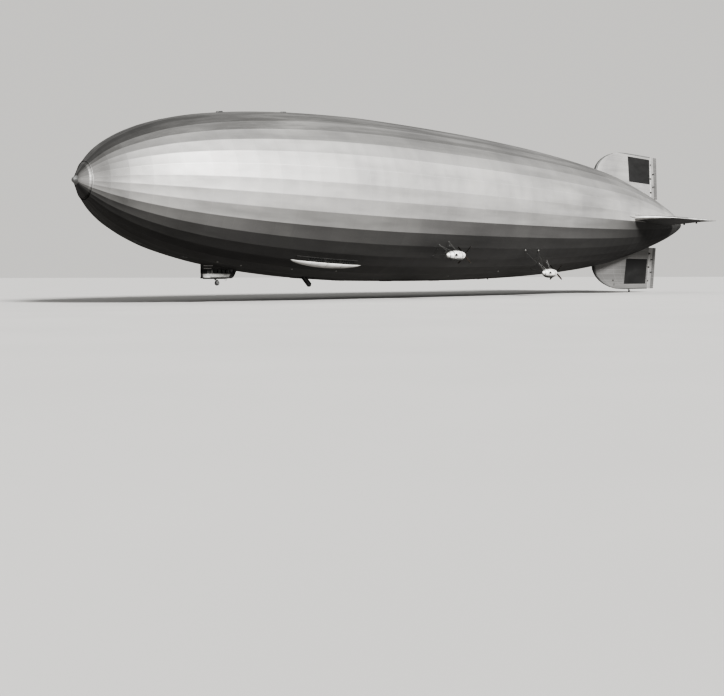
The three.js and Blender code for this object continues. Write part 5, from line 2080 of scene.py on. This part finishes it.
class AIRSHIP_OT_control_car(bpy.types.Operator):
    """Finish the control car with its window frames, edge strips, doors, rails, lamp and fittings inside"""

    bl_idname = "airship.control_car"
    bl_label = "Control car"

    def execute(self, context):
        nodes = frame["nodes"]
        white = (0.66, 0.65, 0.625)
        skin = painted_sheet("control_car_paint", white, 0.45, 0.1, dark_where=round_light_panel)
        dark = painted_sheet("control_car_trim", (0.06, 0.06, 0.058), roughness=0.5)
        metal = bare_metal("control_car_metal", (0.5, 0.5, 0.49))
        brass = bare_metal("helm_brass", (0.5, 0.36, 0.16), roughness=0.3)
        coat(nodes["control_car"], skin)
        coat(nodes["control_car_glazing"], window_glass("cabin_glass", (0.5, 0.49, 0.46)))
        coat(nodes["helm_stand"], brass)
        coat(nodes["chart_table"], varnished_wood("table_wood", (0.2, 0.11, 0.06)))
        light = bpy.data.materials["ledge_paint"]
        for name, parts, slot, material in (
            ("frames", self.window_frames(), "painted_sheet", dark),
            ("edges", self.edges(), "painted_sheet", dark),
            ("door", self.door(), "painted_sheet", skin),
            ("rails", self.rails(), "bare_metal", metal),
            ("drip_rails", self.drip_rails(), "painted_sheet", light),
        ):
            finish(join("control_car_" + name, parts), "ship", slot, material, smooth=35)
        lamp = self.lamp()
        finish(lamp, "ship", "clear_glass", lens_glass("searchlight_glass", (0.85, 0.84, 0.8)), smooth=50)
        return {"FINISHED"}

    def side_y(self, station):
        """Half the car's width: straight sides, a round front and a narrowing tail."""
        front, half = CONTROL["front"], CONTROL["half"]
        if station < front + CONTROL_ROUND:
            return half * math.sqrt(max(1 - ((front + CONTROL_ROUND - station) / CONTROL_ROUND) ** 2, 0))
        narrowing = CONTROL["back_top"] - CONTROL_TAPER
        if station > narrowing:
            return half * (1 - 0.45 * (station - narrowing) / CONTROL_TAPER)
        return half

    def window_frames(self):
        low, high = CONTROL_WINDOWS["low"], CONTROL_WINDOWS["high"]
        parts = []
        for side in (1, -1):
            for s in CONTROL_WINDOWS["stations"]:
                end = s + CONTROL_WINDOWS["long"]
                corners = [(s, low), (end, low), (end, high), (s, high)]
                line = [at_ship(p, side * (self.side_y(p) + 0.01), z) for p, z in corners]
                parts.append(tube("frame", line, WINDOW_BEAD, closed=True))
        for y in CONTROL_FRONT:
            line = []
            for across, z in ((y - 0.33, low), (y + 0.33, low), (y + 0.33, high), (y - 0.33, high)):
                round_off = 1 - math.sqrt(max(1 - (across / CONTROL["half"]) ** 2, 0))
                s = CONTROL["front"] + CONTROL_ROUND * round_off
                line.append(at_ship(s - 0.01, across, z))
            parts.append(tube("frame", line, WINDOW_BEAD, closed=True))
        return parts

    def edges(self):
        """Strips along the keel and up the front, along the foot and the raked tail, and by the windows."""
        low, parts = CONTROL["bottom"], []
        front = [at_ship(CONTROL["front"] - 0.05, 0, low + 0.25 * k) for k in range(2, 12)]
        keel = [at_ship(s, 0, low - 0.05) for s in (37.0, 36, 34, 32, 31, 30.2)]
        parts.append(tube("keel", on_solid("control_car", keel + front), radius=0.012))
        for side in (1, -1):
            rows = [29.75 + 0.05 * k * k for k in range(6)] + [32, 33.5, 35, 36.5, 37.5]
            for z in (-18.62, -17.58):
                band = [at_ship(s, side * (self.side_y(s) + 0.02), z) for s in rows]
                parts.append(tube("band", on_solid("control_car", band), radius=0.0026))
            foot = [at_ship(s, side * (self.side_y(s) + 0.05), low + 0.12) for s in rows[1:-1] + [37.0]]
            rake = [
                at_ship(s - 0.1, side * self.side_y(s), -19.3 + 0.32 * k)
                for k, s in enumerate(37.4 + 0.27 * k for k in range(8))
            ]
            parts.append(tube("bilge", on_solid("control_car", foot + rake), radius=0.011))
        return parts

    def door(self):
        """The outline and the handle of a door on each side, aft of the windows."""
        parts = []
        for side in (1, -1):
            corners = [(37.55, -18.75), (38.1, -18.05), (38.1, -17.35), (37.55, -17.35)]
            line = [at_ship(p, side * (self.side_y(p) + 0.005), z) for p, z in corners]
            parts.append(tube("outline", line, radius=0.0018, closed=True))
            ends = [at_ship(37.85, side * (self.side_y(37.3) + 0.03), z) for z in (-18.0, -17.8)]
            parts.append(bar("handle", *ends, 0.002))
        return parts

    def rails(self):
        """The landing rails that handlers hold, along both sides of the foot, and the loop below."""
        parts = []
        for side in (1, -1):
            inner, outer = side * 1.28, side * 1.42
            rail = [at_ship(s, outer, RAIL_HEIGHT) for s in (31.2, 32.5, 34, 35.5, 36.9)]
            ends = [at_ship(s, inner, RAIL_HEIGHT) for s in (31.15, 36.95)]
            parts.append(tube("rail", [ends[0], *rail, ends[1]], radius=0.0032))
            for s in (32.5, 34.0, 35.5):
                parts.append(bar("stay", *(at_ship(s, y, RAIL_HEIGHT) for y in (inner, outer)), 0.0026))
        under = at_ship(MOORING_LOOP, 0, -19.97)
        parts.append(hoop("loop", under, radius=0.022, thick=0.0022, turn=(math.pi / 2, 0, 0)))
        ends = at_ship(MOORING_LOOP, 0, -19.68), at_ship(MOORING_LOOP, 0, -19.77)
        parts.append(bar("foot", *ends, radius=0.004))
        return parts

    def drip_rails(self):
        """Light rails over the front windows, along both sides."""
        rails = []
        for side in (1, -1):
            for z, back in DRIP_RAILS:
                row = [29.9 + (back - 29.9) * k / 7 for k in range(8)]
                line = [at_ship(s, side * (self.side_y(s) + 0.02), z) for s in row]
                rails.append(tube("drip rail", on_solid("control_car", line), radius=0.008))
        return rails

    def lamp(self):
        bowl = turned("control_car_lamp", [(-height, radius) for height, radius in reversed(BOWL)], sides=24)
        bowl.data.transform(Matrix.Translation(at_ship(30.5, 0, -19.7)))
        return bowl


# Landing wheels
TYRE = (
    # across the tyre, out from the axle, as shares of half the width and of the radius
    (1.0, 0.52), (1.0, 0.64), (0.97, 0.78), (0.86, 0.9), (0.62, 0.975), (0.44, 0.99), (0.4, 0.97),
    (0.3, 0.97), (0.26, 0.997), (0.08, 1.0), (0.05, 0.975), (-0.05, 0.975), (-0.08, 1.0), (-0.26, 0.997),
    (-0.3, 0.97), (-0.4, 0.97), (-0.44, 0.99), (-0.62, 0.975), (-0.86, 0.9), (-0.97, 0.78), (-1.0, 0.64),
    (-1.0, 0.52),
)
BOOT_FOOT = {"front": -19.95, "tail": -24.1}
PLEATS = 5


class AIRSHIP_OT_landing_wheels(bpy.types.Operator):
    """Finish the landing wheels: grooved tyres, bolted hubs, and boots on their legs"""

    bl_idname = "airship.landing_wheels"
    bl_label = "Landing wheels"

    def execute(self, context):
        rubber = tyre_rubber("tyre_rubber", (0.03, 0.03, 0.03))
        metal = bare_metal("gear_metal", (0.52, 0.52, 0.51), roughness=0.4)
        sleeve = dark_paint("boot_rubber", (0.03, 0.03, 0.03))
        for end in ("front", "tail"):
            for part in ("leg", "fork", "hub"):
                coat(frame["nodes"][f"{end}_wheel_{part}"], metal)
            self.tyre(end, rubber)
            self.hub_bolts(end, metal)
            self.boot(end, sleeve)
        return {"FINISHED"}

    def tyre(self, end, rubber):
        low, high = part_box(end + "_tyre")
        axle, radius, half = (low + high) / 2, (high.z - low.z) / 2, (high.y - low.y) / 2
        rings = round_rings((x * half, r * radius) for x, r in TYRE)
        tyre = ringed(end + "_tyre_grooved", rings, sides=64)

        def cap(face):
            at_end = abs(face.normal.x) > 0.99 and abs(middle(face).x) > 0.99 * half
            return at_end and face.calc_area() > 0.3 * radius**2

        with shaping(tyre):
            pick(tyre, cap)
            bpy.ops.mesh.delete(type="ONLY_FACE")
            pick(tyre, lambda edge: edge.is_boundary, "EDGE")
            bpy.ops.mesh.bridge_edge_loops()
            bpy.ops.mesh.select_all(action="SELECT")
            bpy.ops.mesh.normals_make_consistent(inside=False)
        tyre.data.transform(Matrix.Translation(axle) @ about("Z", 90))
        finish(tyre, end + "_wheel", "tyre_rubber", rubber, smooth=50, replaces=(end + "_tyre",))

    def hub_bolts(self, end, metal):
        low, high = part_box(end + "_wheel_hub")
        axle, radius, half = (low + high) / 2, (high.z - low.z) / 2, (high.y - low.y) / 2
        rows = []
        for side in (1, -1):
            face = axle + Vector((0, side * half, 0))
            place = Matrix.Translation(face) @ about_x(-90 * side)
            rows.append(bolts("bolts", count=6, ring=radius * 0.6, radius=0.0022, height=0.0018, place=place))
            rows.append(hoop("rim", face, radius * 0.93, thick=0.0022, turn=(math.pi / 2, 0, 0), segments=48))
        finish(join(end + "_hub_bolts", rows), end + "_wheel", "bare_metal", metal, smooth=35)

    def boot(self, end, sleeve):
        """A pleated boot round the leg."""
        low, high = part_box(end + "_wheel_leg")
        foot, top = BOOT_FOOT[end] * SCALE + 0.002, high.z - 0.008
        folds = 2 * PLEATS
        rings = [(foot + (top - foot) * k / folds, 0.0225 if k % 2 else 0.0285) for k in range(folds + 1)]
        boot = ringed(end + "_leg_boot", round_rings(rings), sides=32)
        boot.data.transform(Matrix.Translation(((low.x + high.x) / 2, 0, 0)) @ about("Y", -90))
        finish(boot, "ship", "tyre_rubber", sleeve, smooth=35)


CLASSES = (
    HullSizes, FinColours, CarSizes, StageSizes, AIRSHIP_OT_stage, AIRSHIP_OT_hull, AIRSHIP_OT_nose_and_tail,
    AIRSHIP_OT_ridge, AIRSHIP_OT_belly, AIRSHIP_OT_quarters, AIRSHIP_OT_gangways, AIRSHIP_OT_fins,
    AIRSHIP_OT_surfaces, AIRSHIP_OT_engine_cars, AIRSHIP_OT_propellers, AIRSHIP_OT_control_car,
    AIRSHIP_OT_landing_wheels,
)
STEPS = (
    "stage", "hull", "nose_and_tail", "ridge", "belly", "quarters", "gangways", "fins", "surfaces",
    "engine_cars", "propellers", "control_car", "landing_wheels",
)


class AIRSHIP_PT_steps(bpy.types.Panel):
    """Lists the steps that dress the airship"""

    bl_label = "Airship"
    bl_space_type = "VIEW_3D"
    bl_region_type = "UI"
    bl_category = "Airship"

    def draw(self, context):
        for step in STEPS:
            self.layout.operator("airship." + step)


def register():
    for made in (*CLASSES, AIRSHIP_PT_steps):
        bpy.utils.register_class(made)
    bpy.types.Scene.airship_hull = PointerProperty(type=HullSizes)
    bpy.types.Scene.airship_fins = PointerProperty(type=FinColours)
    bpy.types.Scene.airship_cars = PointerProperty(type=CarSizes)
    bpy.types.Scene.airship_stage = PointerProperty(type=StageSizes)


def unregister():
    del bpy.types.Scene.airship_stage
    del bpy.types.Scene.airship_cars
    del bpy.types.Scene.airship_fins
    del bpy.types.Scene.airship_hull
    for made in reversed((*CLASSES, AIRSHIP_PT_steps)):
        bpy.utils.unregister_class(made)


def main():
    register()
    for step in STEPS:
        getattr(bpy.ops.airship, step)()


if __name__ == "__main__":
    main()
